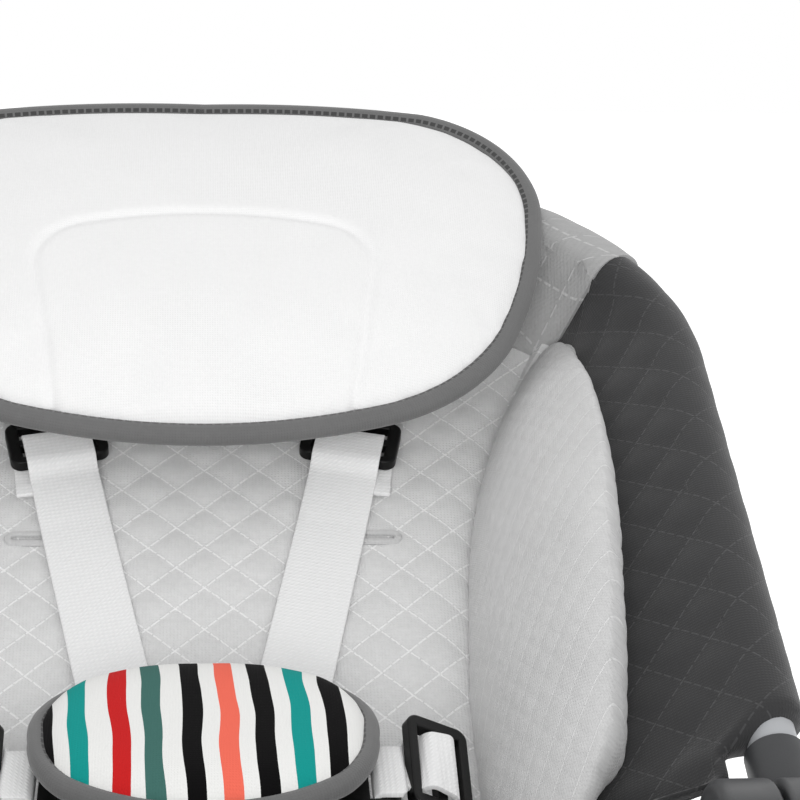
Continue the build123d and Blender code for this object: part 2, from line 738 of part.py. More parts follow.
def buckle_body():
    """The centre buckle, with pockets for its button and tongues and an eye for the crotch strap."""
    block = extrude(RectangleRounded(BUCKLE_X, BUCKLE_Y, BUCKLE_ROUND), BUCKLE_T / 2, both=True)
    block = fillet(block.faces().filter_by(Axis.Z).edges(), FOOT_ROUND)
    well = Cylinder(BUCKLE_BUTTON_R + BUTTON_CLEARANCE, 2 * BUCKLE_BUTTON_DEPTH)
    mouth = Box(2 * TONGUE_IN, TONGUE_STEM + CLOTH_GAP, TONGUE_T + CLOTH_GAP)
    block -= Pos(0, 0, BUCKLE_T / 2) * well
    block -= [Pos(side * BUCKLE_X / 2, 0, 0) * mouth for side in (1, -1)]
    eye_y = -BUCKLE_Y / 2 - TONGUE_EYE
    lug = Pos(0, eye_y) * SlotOverall(WEB_WIDTH + 2 * TONGUE_EYE, 3 * TONGUE_EYE)
    lug -= Pos(0, eye_y) * Rectangle(WEB_WIDTH + WEB_T, TONGUE_EYE)
    return TUMMY * Pos(0, 0, buckle_middle()) * (block + extrude(lug, TONGUE_T / 2, both=True))


def buckle_button():
    """The buckle's round release button."""
    button = Cylinder(
        BUCKLE_BUTTON_R,
        BUCKLE_BUTTON_DEPTH - BUCKLE_BUTTON_TRAVEL - CLOTH_GAP + BUCKLE_BUTTON_PROUD,
        align=(Align.CENTER, Align.CENTER, Align.MAX),
    )
    button = fillet(button.edges().sort_by(Axis.Z)[-1], BUCKLE_BUTTON_PROUD)
    return TUMMY * Pos(0, 0, BUCKLE_BUTTON_PROUD - BUCKLE_DROP) * button


def buckle_tongue():
    """The right tongue, pushed into the buckle, with an eye for the straps."""
    stem_start = BUCKLE_X / 2 - TONGUE_IN + CLOTH_GAP
    plate_start = BUCKLE_X / 2 + CLOTH_GAP
    length = TONGUE_REACH - plate_start
    plate = Pos((plate_start + TONGUE_REACH) / 2, 0) * RectangleRounded(length, TONGUE_WIDTH, BUCKLE_ROUND)
    stem_end = plate_start + BUCKLE_ROUND
    plate += Pos((stem_start + stem_end) / 2, 0) * Rectangle(stem_end - stem_start, TONGUE_STEM)
    plate -= Pos(TONGUE_REACH - 2 * TONGUE_EYE, 0) * Rectangle(TONGUE_EYE, WEB_WIDTH + CLOTH_GAP)
    return TUMMY * Pos(0, 0, buckle_middle()) * extrude(plate, TONGUE_T / 2, both=True)


def crotch_strap():
    """The crotch strap, from its sewn tail under the seat sling up through the slot to the buckle's eye."""
    tail = SEAT_PAD.from_local_coords(Vector(0, CROTCH_FORWARD + CROTCH_TAIL, anchor_z() - WEB_T / 2))
    foot = SEAT_PAD.from_local_coords(Vector(0, CROTCH_FORWARD, anchor_z() - WEB_T / 2))
    exit_point = SEAT_PAD.from_local_coords(Vector(0, CROTCH_FORWARD, CROTCH_RISE))
    eye_y = -BUCKLE_Y / 2 - TONGUE_EYE - TONGUE_EYE / 2
    eye = TUMMY.from_local_coords(Vector(0, eye_y - TONGUE_EYE - CLOTH_GAP, buckle_middle()))
    points = [(point.Y, point.Z) for point in (tail, foot, exit_point, eye)]
    return Plane.YZ * web(points, [STRAP_BEND_R, CROTCH_EASE_R])


# All pieces by name

pillow, pillow_band = cushion_pair(PILLOW_TOP, PILLOW_ARCS, PILLOW_BINDING, PILLOW_FRONT, PILLOW_BACK)
tummy, tummy_band = cushion_pair(TUMMY_TOP, TUMMY_ARCS, TUMMY_BINDING, TUMMY_FRONT, TUMMY_BACK)
pieces = {
    "base_hoop": base_hoop(),
    "seat_hoop": SEAT * tube(seat_run(TUBE_INSERT), HOOP_R, HOOP_R - TUBE_WALL),
    "seat_tunnel": seat_tunnel(),
    "seat_sling": seat_sling(),
    "seat_pad": seat_pad(),
    "crotch_strap": crotch_strap(),
    "back_hoop": back_hoop(),
    "head_tunnel": head_tunnel(),
    "back_sling": back_sling(),
    "back_pad": back_pad(),
    "head_panel": head_panel(),
    "buckle_body": buckle_body(),
    "buckle_button": buckle_button(),
    "head_pillow": PILLOW * pillow,
    "pillow_binding": PILLOW * pillow_band,
    "tummy_pad": TUMMY * tummy,
    "tummy_binding": TUMMY * tummy_band,
}
pairs = {
    "spring_arm": spring_arm,
    "front_foot": front_foot,
    "rear_foot": rear_foot,
    "hub_inner": hub_inner,
    "hub_outer": hub_outer,
    "friction_washer": friction_washer,
    "pivot_bolt": pivot_bolt,
    "recline_button": recline_button,
    "button_spring": button_spring,
    "back_tunnel": back_tunnel,
    "bolster": bolster,
    "shoulder_strap": shoulder_strap,
    "strap_anchor": strap_anchor,
    "shoulder_adjuster": shoulder_adjuster,
    "waist_strap": waist_strap,
    "waist_adjuster": waist_adjuster,
    "buckle_tongue": buckle_tongue,
}
for name, make in pairs.items():
    pieces.update(both_sides(name, make()))

os.makedirs("parts", exist_ok=True)
for name, piece in pieces.items():
    export_step(piece, f"parts/{name}.step")
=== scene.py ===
"""Looks of a baby bouncer seat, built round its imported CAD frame.

Sizes are in metres, in the row frame.
"""

import json
import logging
import math
from dataclasses import dataclass
from enum import Enum
from typing import Callable, Sequence

import bpy
import numpy as np
from mathutils import Matrix, Vector


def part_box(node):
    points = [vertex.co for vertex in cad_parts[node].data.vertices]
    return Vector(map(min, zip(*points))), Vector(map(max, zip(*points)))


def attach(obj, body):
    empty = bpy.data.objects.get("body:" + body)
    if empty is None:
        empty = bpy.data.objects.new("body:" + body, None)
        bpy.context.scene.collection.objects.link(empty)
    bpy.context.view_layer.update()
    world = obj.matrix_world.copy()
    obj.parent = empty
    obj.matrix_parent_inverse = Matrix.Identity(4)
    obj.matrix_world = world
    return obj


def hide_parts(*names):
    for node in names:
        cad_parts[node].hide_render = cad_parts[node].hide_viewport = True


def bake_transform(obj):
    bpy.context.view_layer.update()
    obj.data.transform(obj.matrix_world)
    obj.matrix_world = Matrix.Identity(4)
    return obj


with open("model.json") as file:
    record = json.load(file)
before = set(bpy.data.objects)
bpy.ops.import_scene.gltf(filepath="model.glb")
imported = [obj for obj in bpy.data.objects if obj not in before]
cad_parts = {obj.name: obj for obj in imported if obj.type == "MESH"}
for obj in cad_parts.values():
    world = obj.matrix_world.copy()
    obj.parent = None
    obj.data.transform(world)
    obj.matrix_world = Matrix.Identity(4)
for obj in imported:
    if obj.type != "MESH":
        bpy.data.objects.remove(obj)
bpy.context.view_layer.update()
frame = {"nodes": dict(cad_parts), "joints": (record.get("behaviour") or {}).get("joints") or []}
JOINTS = {joint["name"]: joint for joint in frame["joints"]}
LOG = logging.getLogger("bouncer")

Array = np.ndarray
Piece = bpy.types.Object
Point = tuple[float, float]
Socket = bpy.types.NodeSocket
Tree = bpy.types.NodeTree

MM = 0.001
ACROSS = np.array((1.0, 0.0, 0.0))
CLOTH_MAP = "cloth"


class Body(str, Enum):
    """The CAD bodies that pieces ride on."""

    BASE = "base"
    SEAT = "seat"
    BACKREST = "backrest"
    PILLOW = "pillow"
    TUMMY = "tummy"
    LEFT_BUTTON = "left_button"
    RIGHT_BUTTON = "right_button"


class Side(Enum):
    """The two sides, as seen from the front, with the sign of x."""

    LEFT = -1
    RIGHT = 1

    @property
    def word(self) -> str:
        """The side's name in a node's name."""
        return self.name.lower()


# Finishes

SRGB_KNEE, SRGB_SLOPE, SRGB_OFFSET, SRGB_POWER = 0.04045, 12.92, 0.055, 2.4
# Numbers of the Mix node's colour sockets and of the wave's height
MIX_FIRST, MIX_SECOND, MIXED_COLOUR = 6, 7, 2
WAVE_HEIGHT = 1
# A wave's scale times its length, along an axis and along the diagonal
WAVE_TURN = math.pi / 10
DIAGONAL_TURN = math.pi / 5
DYE_SPREAD = (0.7, 1.3)
WEAR_SPREAD = (0.3, 0.7)
CLOTH_BUMP = 0.6
MOULD_BUMP = 0.5
SHEEN_ROUGHNESS = 0.5
STITCH_CORE = 0.6
RIB_FLOOR = 0.3


def unbent(share: float) -> float:
    """A linear share of light from a share on the sRGB curve."""
    if share <= SRGB_KNEE:
        return share / SRGB_SLOPE
    return ((share + SRGB_OFFSET) / (1 + SRGB_OFFSET)) ** SRGB_POWER


def linear(colour: str) -> tuple[float, float, float, float]:
    """A linear colour from an sRGB hex value.

    Args:
        colour: Six hex digits after a hash sign.

    Returns:
        Red, green, blue and an alpha of 1.
    """
    red, green, blue = (unbent(int(colour[i : i + 2], 16) / 255) for i in (1, 3, 5))
    return red, green, blue, 1.0


def add_node(
    tree: Tree, kind: str, inputs: dict | None = None, output: int | str = 0, **settings
) -> Socket | bpy.types.Node:
    """Adds one node, sets it up and links it.

    Args:
        tree: The material's node tree.
        kind: The node's type without its ShaderNode prefix.
        inputs: Values or sockets by the input's name or number.
        output: The name or number of the output that is wanted.
        **settings: The node's own properties.

    Returns:
        The wanted output socket, or the node itself if it has no outputs.
    """
    node = tree.nodes.new("ShaderNode" + kind)
    for name, value in settings.items():
        setattr(node, name, value)
    for key, value in (inputs or {}).items():
        if isinstance(value, Socket):
            tree.links.new(value, node.inputs[key])
        else:
            node.inputs[key].default_value = value
    return node.outputs[output] if node.outputs else node


def reckon(tree: Tree, operation: str, *values: Socket | float) -> Socket:
    """The result of one sum on values or sockets."""
    return add_node(tree, "Math", dict(enumerate(values)), operation=operation)


def remap(tree: Tree, value: Socket, source: Point, target: Point = (0.0, 1.0)) -> Socket:
    """A value moved from one range to another and kept inside it."""
    return add_node(tree, "MapRange", dict(enumerate((value, *source, *target))))


def mix(tree: Tree, share: Socket | float, *colours, blend: str = "MIX") -> Socket:
    """Two colours mixed by a share."""
    inputs = {0: share, MIX_FIRST: colours[0], MIX_SECOND: colours[1]}
    return add_node(
        tree, "Mix", inputs, output=MIXED_COLOUR, data_type="RGBA", blend_type=blend
    )


def noise(tree: Tree, place: Socket, size: float, detail: float) -> Socket:
    """Soft noise whose patches are about as large as `size`."""
    return add_node(tree, "TexNoise", {"Vector": place, "Scale": 1 / size, "Detail": detail})


def across_along(tree: Tree, place: Socket) -> list[Socket]:
    """A place's first two coordinates."""
    return [add_node(tree, "SeparateXYZ", {0: place}, output=axis) for axis in "XY"]


def bumps(tree: Tree, height: Socket, distance: float, strength: float) -> Socket:
    """A normal that shows heights as relief."""
    inputs = {"Strength": strength, "Distance": distance, "Height": height}
    return add_node(tree, "Bump", inputs)


@dataclass(frozen=True)
class Finish:
    """A material of the object: its name, the record's slot, its colour and how rough it is."""

    name: str
    slot: str
    colour: str
    roughness: float

    def dress(self, tree: Tree) -> dict:
        """The shader's inputs for this finish.

        Args:
            tree: The node tree to draw patterns in.

        Returns:
            Values or sockets by the shader's input names.
        """
        return {"Base Color": linear(self.colour), "Roughness": self.roughness}

    def material(self) -> bpy.types.Material:
        """The finish's material, made once."""
        found = bpy.data.materials.get(self.name)
        if found:
            return found
        made = bpy.data.materials.new(self.name)
        made.use_nodes = True
        tree = made.node_tree
        tree.nodes.clear()
        shader = add_node(tree, "BsdfPrincipled", self.dress(tree))
        add_node(tree, "OutputMaterial", {"Surface": shader})
        return made


@dataclass(frozen=True)
class Cloth(Finish):
    """Woven or knitted cloth: matt, with a soft sheen, its threads coarse enough to show.

    Quilted cloth has lines of stitches in diamonds, at the same places as the swells of
    its mesh. `cross` says how much the lines of the second direction show.
    """

    thread: float = 1.2 * MM
    relief: float = 0.25 * MM
    mottle: float = 0.06
    cloud: float = 26 * MM
    quilt: float = 0.0
    stitch: str = "#ffffff"
    stitch_width: float = 0.5 * MM
    stitch_length: float = 3.2 * MM
    stitch_share: float = 0.72
    cross: float = 1.0
    sheen: float = 0.25
    specular: float = 0.25

    def ground(self, tree: Tree, place: Socket) -> Socket:
        """The cloth's colour before its stitches, a little uneven as dyed yarn is.

        Args:
            tree: The node tree.
            place: The cloth's own coordinates, in metres.

        Returns:
            A colour socket.
        """
        cloud = noise(tree, place, self.cloud, detail=3.0)
        yarn = noise(tree, place, 2 * self.thread, detail=2.0)
        both = reckon(tree, "ADD", cloud, yarn)
        shade = remap(tree, both, DYE_SPREAD, (1 - self.mottle, 1 + self.mottle / 2))
        return mix(tree, 1.0, linear(self.colour), shade, blend="MULTIPLY")

    def ribs(
        self, tree: Tree, place: Socket, way: str, turn: float = WAVE_TURN, waver: float = 0.0
    ) -> Socket:
        """Threads side by side.

        Args:
            tree: The node tree.
            place: The cloth's own coordinates.
            way: The direction across the threads.
            turn: A wave's scale times its length in this direction.
            waver: How far the threads waver.

        Returns:
            A height socket from 0 to 1.
        """
        inputs = {"Vector": place, "Scale": turn / self.thread, "Distortion": waver}
        return add_node(tree, "TexWave", inputs, output=WAVE_HEIGHT, bands_direction=way)

    def weave(self, tree: Tree, place: Socket) -> Socket:
        """The height of the threads, crossing at right angles.

        Args:
            tree: The node tree.
            place: The cloth's own coordinates.

        Returns:
            A height socket from 0 to 1.
        """
        warp, weft = (self.ribs(tree, place, way) for way in "XY")
        return reckon(tree, "MULTIPLY", warp, weft)

    def dashes(self, tree: Tree, along: Socket) -> Socket:
        """1 where a row's thread lies on top and 0 where it dips into the cloth."""
        turn = reckon(tree, "PINGPONG", along, self.stitch_length)
        return reckon(tree, "LESS_THAN", turn, self.stitch_share * self.stitch_length)

    def stitches(self, tree: Tree, place: Socket) -> Socket:
        """Where the quilting thread shows.

        Args:
            tree: The node tree.
            place: The cloth's own coordinates.

        Returns:
            A mask socket, 1 on a stitch.
        """
        x, y = across_along(tree, place)
        rising, falling = reckon(tree, "ADD", x, y), reckon(tree, "SUBTRACT", x, y)
        masks = []
        for across, along in ((rising, falling), (falling, rising)):
            off = reckon(tree, "PINGPONG", across, self.quilt / 2)
            near = remap(tree, off, (self.stitch_width, STITCH_CORE * self.stitch_width))
            masks.append(reckon(tree, "MULTIPLY", near, self.dashes(tree, along)))
        first = reckon(tree, "MULTIPLY", masks[0], self.cross)
        return reckon(tree, "MAXIMUM", first, masks[1])

    def dress(self, tree: Tree) -> dict:
        """The shader's inputs: uneven colour, stitches, thread relief and sheen."""
        place = add_node(tree, "Attribute", output="Vector", attribute_name=CLOTH_MAP)
        colour = self.ground(tree, place)
        height = self.weave(tree, place)
        if self.quilt:
            mask = self.stitches(tree, place)
            colour = mix(tree, mask, colour, linear(self.stitch))
            height = reckon(tree, "ADD", height, mask)
        return {
            "Base Color": colour,
            "Roughness": self.roughness,
            "Normal": bumps(tree, height, self.relief, CLOTH_BUMP),
            "Sheen Weight": self.sheen,
            "Sheen Roughness": SHEEN_ROUGHNESS,
            "Specular IOR Level": self.specular,
        }


@dataclass(frozen=True)
class StripedCloth(Cloth):
    """Plain cotton with bold stripes of uneven width, printed with a slight waver."""

    stripes: tuple[tuple[float, float, str], ...] = ()
    span: float = 120 * MM
    waver: float = 2.2 * MM
    swing: float = 34 * MM
    lean: float = 0.05

    def ground(self, tree: Tree, place: Socket) -> Socket:
        """The stripes' colours across the pad."""
        x, y = across_along(tree, place)
        wave = noise(tree, place, self.swing, detail=1.0)
        shift = remap(tree, wave, (0.0, 1.0), (-self.waver, self.waver))
        slant = reckon(tree, "MULTIPLY_ADD", y, self.lean, shift)
        along = reckon(tree, "ADD", x, slant)
        share = remap(tree, along, (-self.span / 2, self.span / 2))
        printed = add_node(tree, "ValToRGB", {0: share})
        ramp = printed.node.color_ramp
        ramp.interpolation = "CONSTANT"
        ramp.elements[0].color = linear(self.colour)
        ramp.elements.remove(ramp.elements[1])
        for start, end, colour in self.stripes:
            ramp.elements.new(start / self.span + 0.5).color = linear(colour)
            ramp.elements.new(end / self.span + 0.5).color = linear(self.colour)
        return printed


@dataclass(frozen=True)
class Tape(Cloth):
    """Bias tape folded round an edge, with one row of stitches along its inner side."""

    row: float = 6.9 * MM

    def stitches(self, tree: Tree, place: Socket) -> Socket:
        """The one row of stitches along the tape."""
        x, y = across_along(tree, place)
        off = reckon(tree, "COMPARE", x, self.row, self.stitch_width)
        return reckon(tree, "MULTIPLY", off, self.dashes(tree, y))


@dataclass(frozen=True)
class Webbing(Cloth):
    """Polyester strap webbing: a tight twill, a little glossy, with painted shade between its
    ribs.
    """

    groove_painted_shade: float = 0.93
    waver: float = 0.4

    def ground(self, tree: Tree, place: Socket) -> Socket:
        """The yarn's colour with painted shade in the grooves of the twill."""
        height = self.weave(tree, place)
        # Painted shade: the colour is darkened in the twill's grooves.
        shade = remap(tree, height, (RIB_FLOOR, 1.0), (self.groove_painted_shade, 1.0))
        return mix(tree, 1.0, linear(self.colour), shade, blend="MULTIPLY")

    def weave(self, tree: Tree, place: Socket) -> Socket:
        """The slanting ribs of the twill, broken by the weft."""
        rib = self.ribs(tree, place, "DIAGONAL", DIAGONAL_TURN, self.waver)
        weft = self.ribs(tree, place, "Y")
        return reckon(tree, "MULTIPLY_ADD", rib, weft, RIB_FLOOR)


@dataclass(frozen=True)
class Moulded(Finish):
    """Moulded plastic or rubber with the fine grain of a spark-eroded mould."""

    grain: float = 0.9 * MM
    relief: float = 0.05 * MM
    specular: float = 0.5
    handled: float = 18 * MM
    polish: float = 0.06
    scuff: float = 0.08

    def dress(self, tree: Tree) -> dict:
        """The shader's inputs: even colour, grain, and gloss that varies with handling."""
        place = add_node(tree, "TexCoord", output="Object")
        grain = noise(tree, place, self.grain, detail=2.0)
        wear = noise(tree, place, self.handled, detail=4.0)
        rough = (self.roughness - self.polish, self.roughness + self.scuff)
        return {
            "Base Color": linear(self.colour),
            "Roughness": remap(tree, wear, WEAR_SPREAD, rough),
            "Normal": bumps(tree, grain, self.relief, MOULD_BUMP),
            "Specular IOR Level": self.specular,
        }


@dataclass(frozen=True)
class Coated(Moulded):
    """Steel tube under satin powder coat, whose skin has a faint orange peel."""

    grain: float = 1.6 * MM
    relief: float = 0.06 * MM


@dataclass(frozen=True)
class Plated(Moulded):
    """Zinc-plated steel, bright but slightly clouded."""

    def dress(self, tree: Tree) -> dict:
        """The shader's inputs for a metal."""
        return {**super().dress(tree), "Metallic": 1.0}


QUILT = 20 * MM
WING_QUILT = 24 * MM
BOLSTER_QUILT = 12 * MM
STRIPES = (
    (-51 * MM, -45.5 * MM, "#0b0a0b"),
    (-41 * MM, -35.5 * MM, "#189b95"),
    (-28.5 * MM, -22.5 * MM, "#cf2526"),
    (-18.5 * MM, -13 * MM, "#45716a"),
    (-7 * MM, -0.8 * MM, "#0b0a0b"),
    (4.5 * MM, 10 * MM, "#f9735f"),
    (15 * MM, 21 * MM, "#0b0a0b"),
    (26 * MM, 32 * MM, "#189b95"),
    (37 * MM, 43.5 * MM, "#0b0a0b"),
)
GREY_QUILTING = Cloth(
    "grey quilted cotton",
    "grey_cloth",
    "#e0e0e0",
    0.9,
    quilt=QUILT,
    stitch="#f8f8f8",
    stitch_width=0.6 * MM,
    stitch_share=0.88,
)
CHARCOAL_QUILTING = Cloth(
    "charcoal quilted cotton",
    "charcoal_cloth",
    "#363637",
    0.9,
    relief=0.12 * MM,
    quilt=WING_QUILT,
    stitch="#474748",
)
# The head panel's cloth is the liner's light grey fabric; its darker grey and darker stitches
# are painted shade.
SHADED_HEAD_QUILTING = Cloth(
    "mid grey quilted cotton", "grey_cloth", "#b0b0b0", 0.9, quilt=QUILT, stitch="#c9c9c9"
)
GREY_CHANNELS = Cloth(
    "grey channelled cotton",
    "grey_cloth",
    "#d1d1d1",
    0.9,
    quilt=BOLSTER_QUILT,
    stitch="#e2e2e2",
    stitch_width=0.45 * MM,
    stitch_share=0.9,
    cross=0.15,
)
GREY_PLAIN = Cloth("grey plain cotton", "grey_cloth", "#d1d1d1", 0.9)
WHITE_JERSEY = Cloth(
    "white jersey",
    "white_cloth",
    "#f6f6f6",
    0.85,
    thread=0.9 * MM,
    relief=0.12 * MM,
    mottle=0.02,
)
STRIPED_COTTON = StripedCloth(
    "striped cotton",
    "striped_cloth",
    "#f4f4f2",
    0.85,
    thread=0.9 * MM,
    relief=0.12 * MM,
    sheen=0.02,
    specular=0.08,
    stripes=STRIPES,
)
GREY_TAPE = Tape(
    "grey bias tape",
    "binding_cloth",
    "#6e6e6e",
    0.85,
    thread=1.0 * MM,
    relief=0.12 * MM,
    quilt=1.0,
    stitch="#444444",
    stitch_width=0.4 * MM,
    stitch_length=1.6 * MM,
)
WHITE_WEBBING = Webbing("white twill webbing", "webbing", "#f8f8f8", 0.6, thread=1.7 * MM)
BLACK_ACETAL = Moulded("black moulded acetal", "black_plastic", "#080808", 0.42, specular=0.22)
HUB_NYLON = Moulded("dark grey moulded nylon", "hub_plastic", "#38393b", 0.45)
BUTTON_NYLON = Moulded("grey moulded nylon", "button_plastic", "#a9abad", 0.4)
WASHER_ACETAL = Moulded("white moulded acetal", "washer_plastic", "#e6e6e2", 0.4)
FOOT_RUBBER = Moulded("black moulded rubber", "foot_rubber", "#1b1b1b", 0.75, grain=1.2 * MM)
COATED_TUBE = Coated("grey powder-coated tube", "frame_tube", "#b3b5b8", 0.36)
ZINC_STEEL = Plated("zinc-plated steel", "zinc_steel", "#b9bbbd", 0.3)

CAD_FINISHES = {
    COATED_TUBE: ("base_hoop", "seat_hoop", "back_hoop"),
    FOOT_RUBBER: ("front_foot", "rear_foot"),
    HUB_NYLON: ("hub_inner", "hub_outer"),
    WASHER_ACETAL: ("friction_washer",),
    ZINC_STEEL: ("pivot_bolt",),
    BUTTON_NYLON: ("recline_button",),
    BLACK_ACETAL: (
        "buckle_body",
        "buckle_button",
        "buckle_tongue",
        "strap_anchor",
        "shoulder_adjuster",
        "waist_adjuster",
    ),
}


# Mesh work

SMOOTH_ANGLE = math.radians(40)
SMOOTH_FACTOR = 0.5
SMOOTH_ROUNDS = 3
WELD = 0.01 * MM
# A share that is too small to see, which keeps two points of a line apart
HAIR = 1e-3
FILLING_PRESSURE = 4.0
FILLING_FRAMES = 20
ARC_POINTS = 24
OUTLINE_POINTS = 40
OUTLINE_TURNS = 96
EDGE_SHARE = 0.3
QUILT_ROUNDNESS = 0.55
TAPE_FACE = 8 * MM


def pick_up(obj: Piece) -> None:
    """Makes one object the only selected and the active one."""
    bpy.ops.object.select_all(action="DESELECT")
    obj.select_set(True)
    bpy.context.view_layer.objects.active = obj


def points_of(obj: Piece, what: str = "co") -> Array:
    """An object's vertex places, or its normals if `what` says so, as rows of three."""
    found = np.empty(3 * len(obj.data.vertices), np.float32)
    obj.data.vertices.foreach_get(what, found)
    return found.reshape(-1, 3).astype(float)


def lay(obj: Piece, points: Array) -> None:
    """Moves an object's vertices to the given places."""
    obj.data.vertices.foreach_set("co", points.astype(np.float32).ravel())
    obj.data.update()


def mark(obj: Piece, across: Array, along: Array) -> None:
    """Writes each vertex's own cloth coordinates, in metres, for the cloth's pattern."""
    made = obj.data.attributes.new(CLOTH_MAP, "FLOAT_VECTOR", "POINT")
    places = np.stack((across, along, np.zeros_like(across)), -1)
    made.data.foreach_set("vector", places.astype(np.float32).ravel())


def marked(obj: Piece) -> tuple[Array, Array]:
    """Each vertex's own cloth coordinates across and along, as `mark` wrote them."""
    found = np.empty(3 * len(obj.data.vertices), np.float32)
    obj.data.attributes[CLOTH_MAP].data.foreach_get("vector", found)
    return found[0::3].astype(float), found[1::3].astype(float)


def push(obj: Piece, amount: Array) -> None:
    """Moves each vertex out along its normal."""
    lay(obj, points_of(obj) + points_of(obj, "normal") * amount[:, None])


def apply(obj: Piece, kind: str, **settings) -> None:
    """Adds a modifier and applies it.

    Args:
        obj: The piece.
        kind: The modifier's type.
        **settings: The modifier's own properties.
    """
    modifier = obj.modifiers.new(kind.lower(), kind)
    for name, value in settings.items():
        setattr(modifier, name, value)
    pick_up(obj)
    bpy.ops.object.modifier_apply(modifier=modifier.name)


def close(obj: Piece) -> None:
    """Joins the vertices that lie on each other and turns the faces outwards."""
    pick_up(obj)
    bpy.ops.object.mode_set(mode="EDIT")
    bpy.ops.mesh.select_all(action="SELECT")
    bpy.ops.mesh.remove_doubles(threshold=WELD)
    bpy.ops.mesh.normals_make_consistent(inside=False)
    bpy.ops.object.mode_set(mode="OBJECT")


def grid(name: str, across: int, along: int) -> tuple[Piece, Array, Array]:
    """A flat grid to shape.

    Args:
        name: The piece's name.
        across: Faces across.
        along: Faces along.

    Returns:
        The object, and each vertex's share across and along, from -1 to 1.
    """
    bpy.ops.object.select_all(action="DESELECT")
    bpy.ops.mesh.primitive_grid_add(x_subdivisions=across, y_subdivisions=along, size=2.0)
    obj = bpy.context.active_object
    obj.name = obj.data.name = name
    flat = points_of(obj)
    return obj, flat[:, 0], flat[:, 1]


def run_lengths(line: Array) -> Array:
    """The distance along a line at each of its points."""
    return np.concatenate(((0.0,), np.cumsum(np.linalg.norm(np.diff(line, axis=0), axis=1))))


def even(line: Array, step: float) -> Array:
    """The same line with points a steady step apart."""
    length = run_lengths(line)
    places = np.linspace(0, length[-1], max(2, round(length[-1] / step) + 1))
    return np.stack([np.interp(places, length, column) for column in line.T], -1)


def rounded(points: Sequence[Sequence[float]], radii: Sequence[float], step: float) -> Array:
    """A line through corners that are rounded by arcs.

    Args:
        points: The corners, and the two ends.
        radii: The arc's radius at each corner.
        step: How far apart the returned points are.

    Returns:
        Points along the line.
    """
    corners = [np.array(point, float) for point in points]
    line = [corners[0]]
    for before, corner, after, radius in zip(corners, corners[1:], corners[2:], radii):
        back = (before - corner) / np.linalg.norm(before - corner)
        on = (after - corner) / np.linalg.norm(after - corner)
        turn = math.pi - math.acos(np.clip(back @ on, -1, 1))
        middle = (back + on) / np.linalg.norm(back + on)
        centre = corner + middle * radius / math.cos(turn / 2)
        first = corner + back * radius * math.tan(turn / 2) - centre
        last = corner + on * radius * math.tan(turn / 2) - centre
        side = last - first * (last @ first) / radius**2
        side *= radius / np.linalg.norm(side)
        turns = np.linspace(0, turn, ARC_POINTS)
        line += [centre + first * math.cos(t) + side * math.sin(t) for t in turns]
    return even(np.array(line + [corners[-1]]), step)


def tangents(line: Array) -> Array:
    """The direction of a line at each of its points."""
    found = np.gradient(line, axis=0)
    return found / np.linalg.norm(found, axis=1)[:, None]


def sideways(slope: Array) -> Array:
    """Unit vectors to the right of flat directions."""
    unit = slope / np.linalg.norm(slope, axis=1)[:, None]
    return np.stack((unit[:, 1], -unit[:, 0]), -1)


def beside_loop(loop: Array) -> Array:
    """Unit vectors to the right of a closed flat loop, at each of its points."""
    return sideways(np.roll(loop, -1, axis=0) - np.roll(loop, 1, axis=0))


def rows(v: Array, last: int) -> Array:
    """Each vertex's row on a grid, from 0 to the last one, from its share along."""
    return np.rint((v + 1) / 2 * last).astype(int)


def sweep(name: str, line: Array, normal: Array, radii: Array, sides: int) -> Piece:
    """A round tube along a flat line.

    Args:
        name: The piece's name.
        line: The middle of the tube.
        normal: The normal of the line's plane. The tube's seam is on the other side.
        radii: The tube's radius at each point.
        sides: Faces round the tube.

    Returns:
        The tube, with cloth coordinates round and along it.
    """
    obj, u, v = grid(name, sides, len(line) - 1)
    row = rows(v, len(line) - 1)
    outward = np.cross(tangents(line), normal)
    angle = u * math.pi
    ring = np.cos(angle)[:, None] * normal + np.sin(angle)[:, None] * outward[row]
    lay(obj, line[row] + radii[row][:, None] * ring)
    mark(obj, angle * radii[row], run_lengths(line)[row])
    close(obj)
    return obj


def ribbon(
    name: str, line: Array, side: Array, width: float, thick: float, faces: int = 8
) -> Piece:
    """A flat strap along a line.

    Args:
        name: The piece's name.
        line: The middle of the strap.
        side: The strap's direction across, one for all of it or one for each point of the line.
        width: Its width.
        thick: Its thickness.
        faces: Faces across.

    Returns:
        The strap, with cloth coordinates across and along it.
    """
    obj, u, v = grid(name, faces, len(line) - 1)
    row = rows(v, len(line) - 1)
    sides = np.broadcast_to(side, line.shape)
    lay(obj, line[row] + (u * width / 2)[:, None] * sides[row])
    mark(obj, u * width / 2, run_lengths(line)[row])
    apply(obj, "SOLIDIFY", thickness=thick, offset=0.0)
    apply(obj, "BEVEL", width=EDGE_SHARE * thick, segments=2, limit_method="ANGLE")
    close(obj)
    return obj


def band(
    name: str, loop: Array, half_width: float, half_thick: float, sides: int
) -> Piece:
    """A rounded band along a closed flat loop.

    Args:
        name: The piece's name.
        loop: The band's middle, x and y, without the first point again at the end.
        half_width: Half the band's width in the plane.
        half_thick: Half its thickness.
        sides: Faces round the band.

    Returns:
        The band in its own plane, with cloth coordinates round and along it.
    """
    ring = np.concatenate((loop, loop[:1]))
    obj, u, v = grid(name, sides, len(loop))
    row = rows(v, len(loop))
    outward = beside_loop(loop)[row % len(loop)]
    angle = u * math.pi
    flat = ring[row] + outward * (half_width * np.cos(angle))[:, None]
    lay(obj, np.concatenate((flat, (half_thick * np.sin(angle))[:, None]), 1))
    mark(obj, np.sin(angle / 2) * TAPE_FACE, run_lengths(ring)[row])
    close(obj)
    return obj


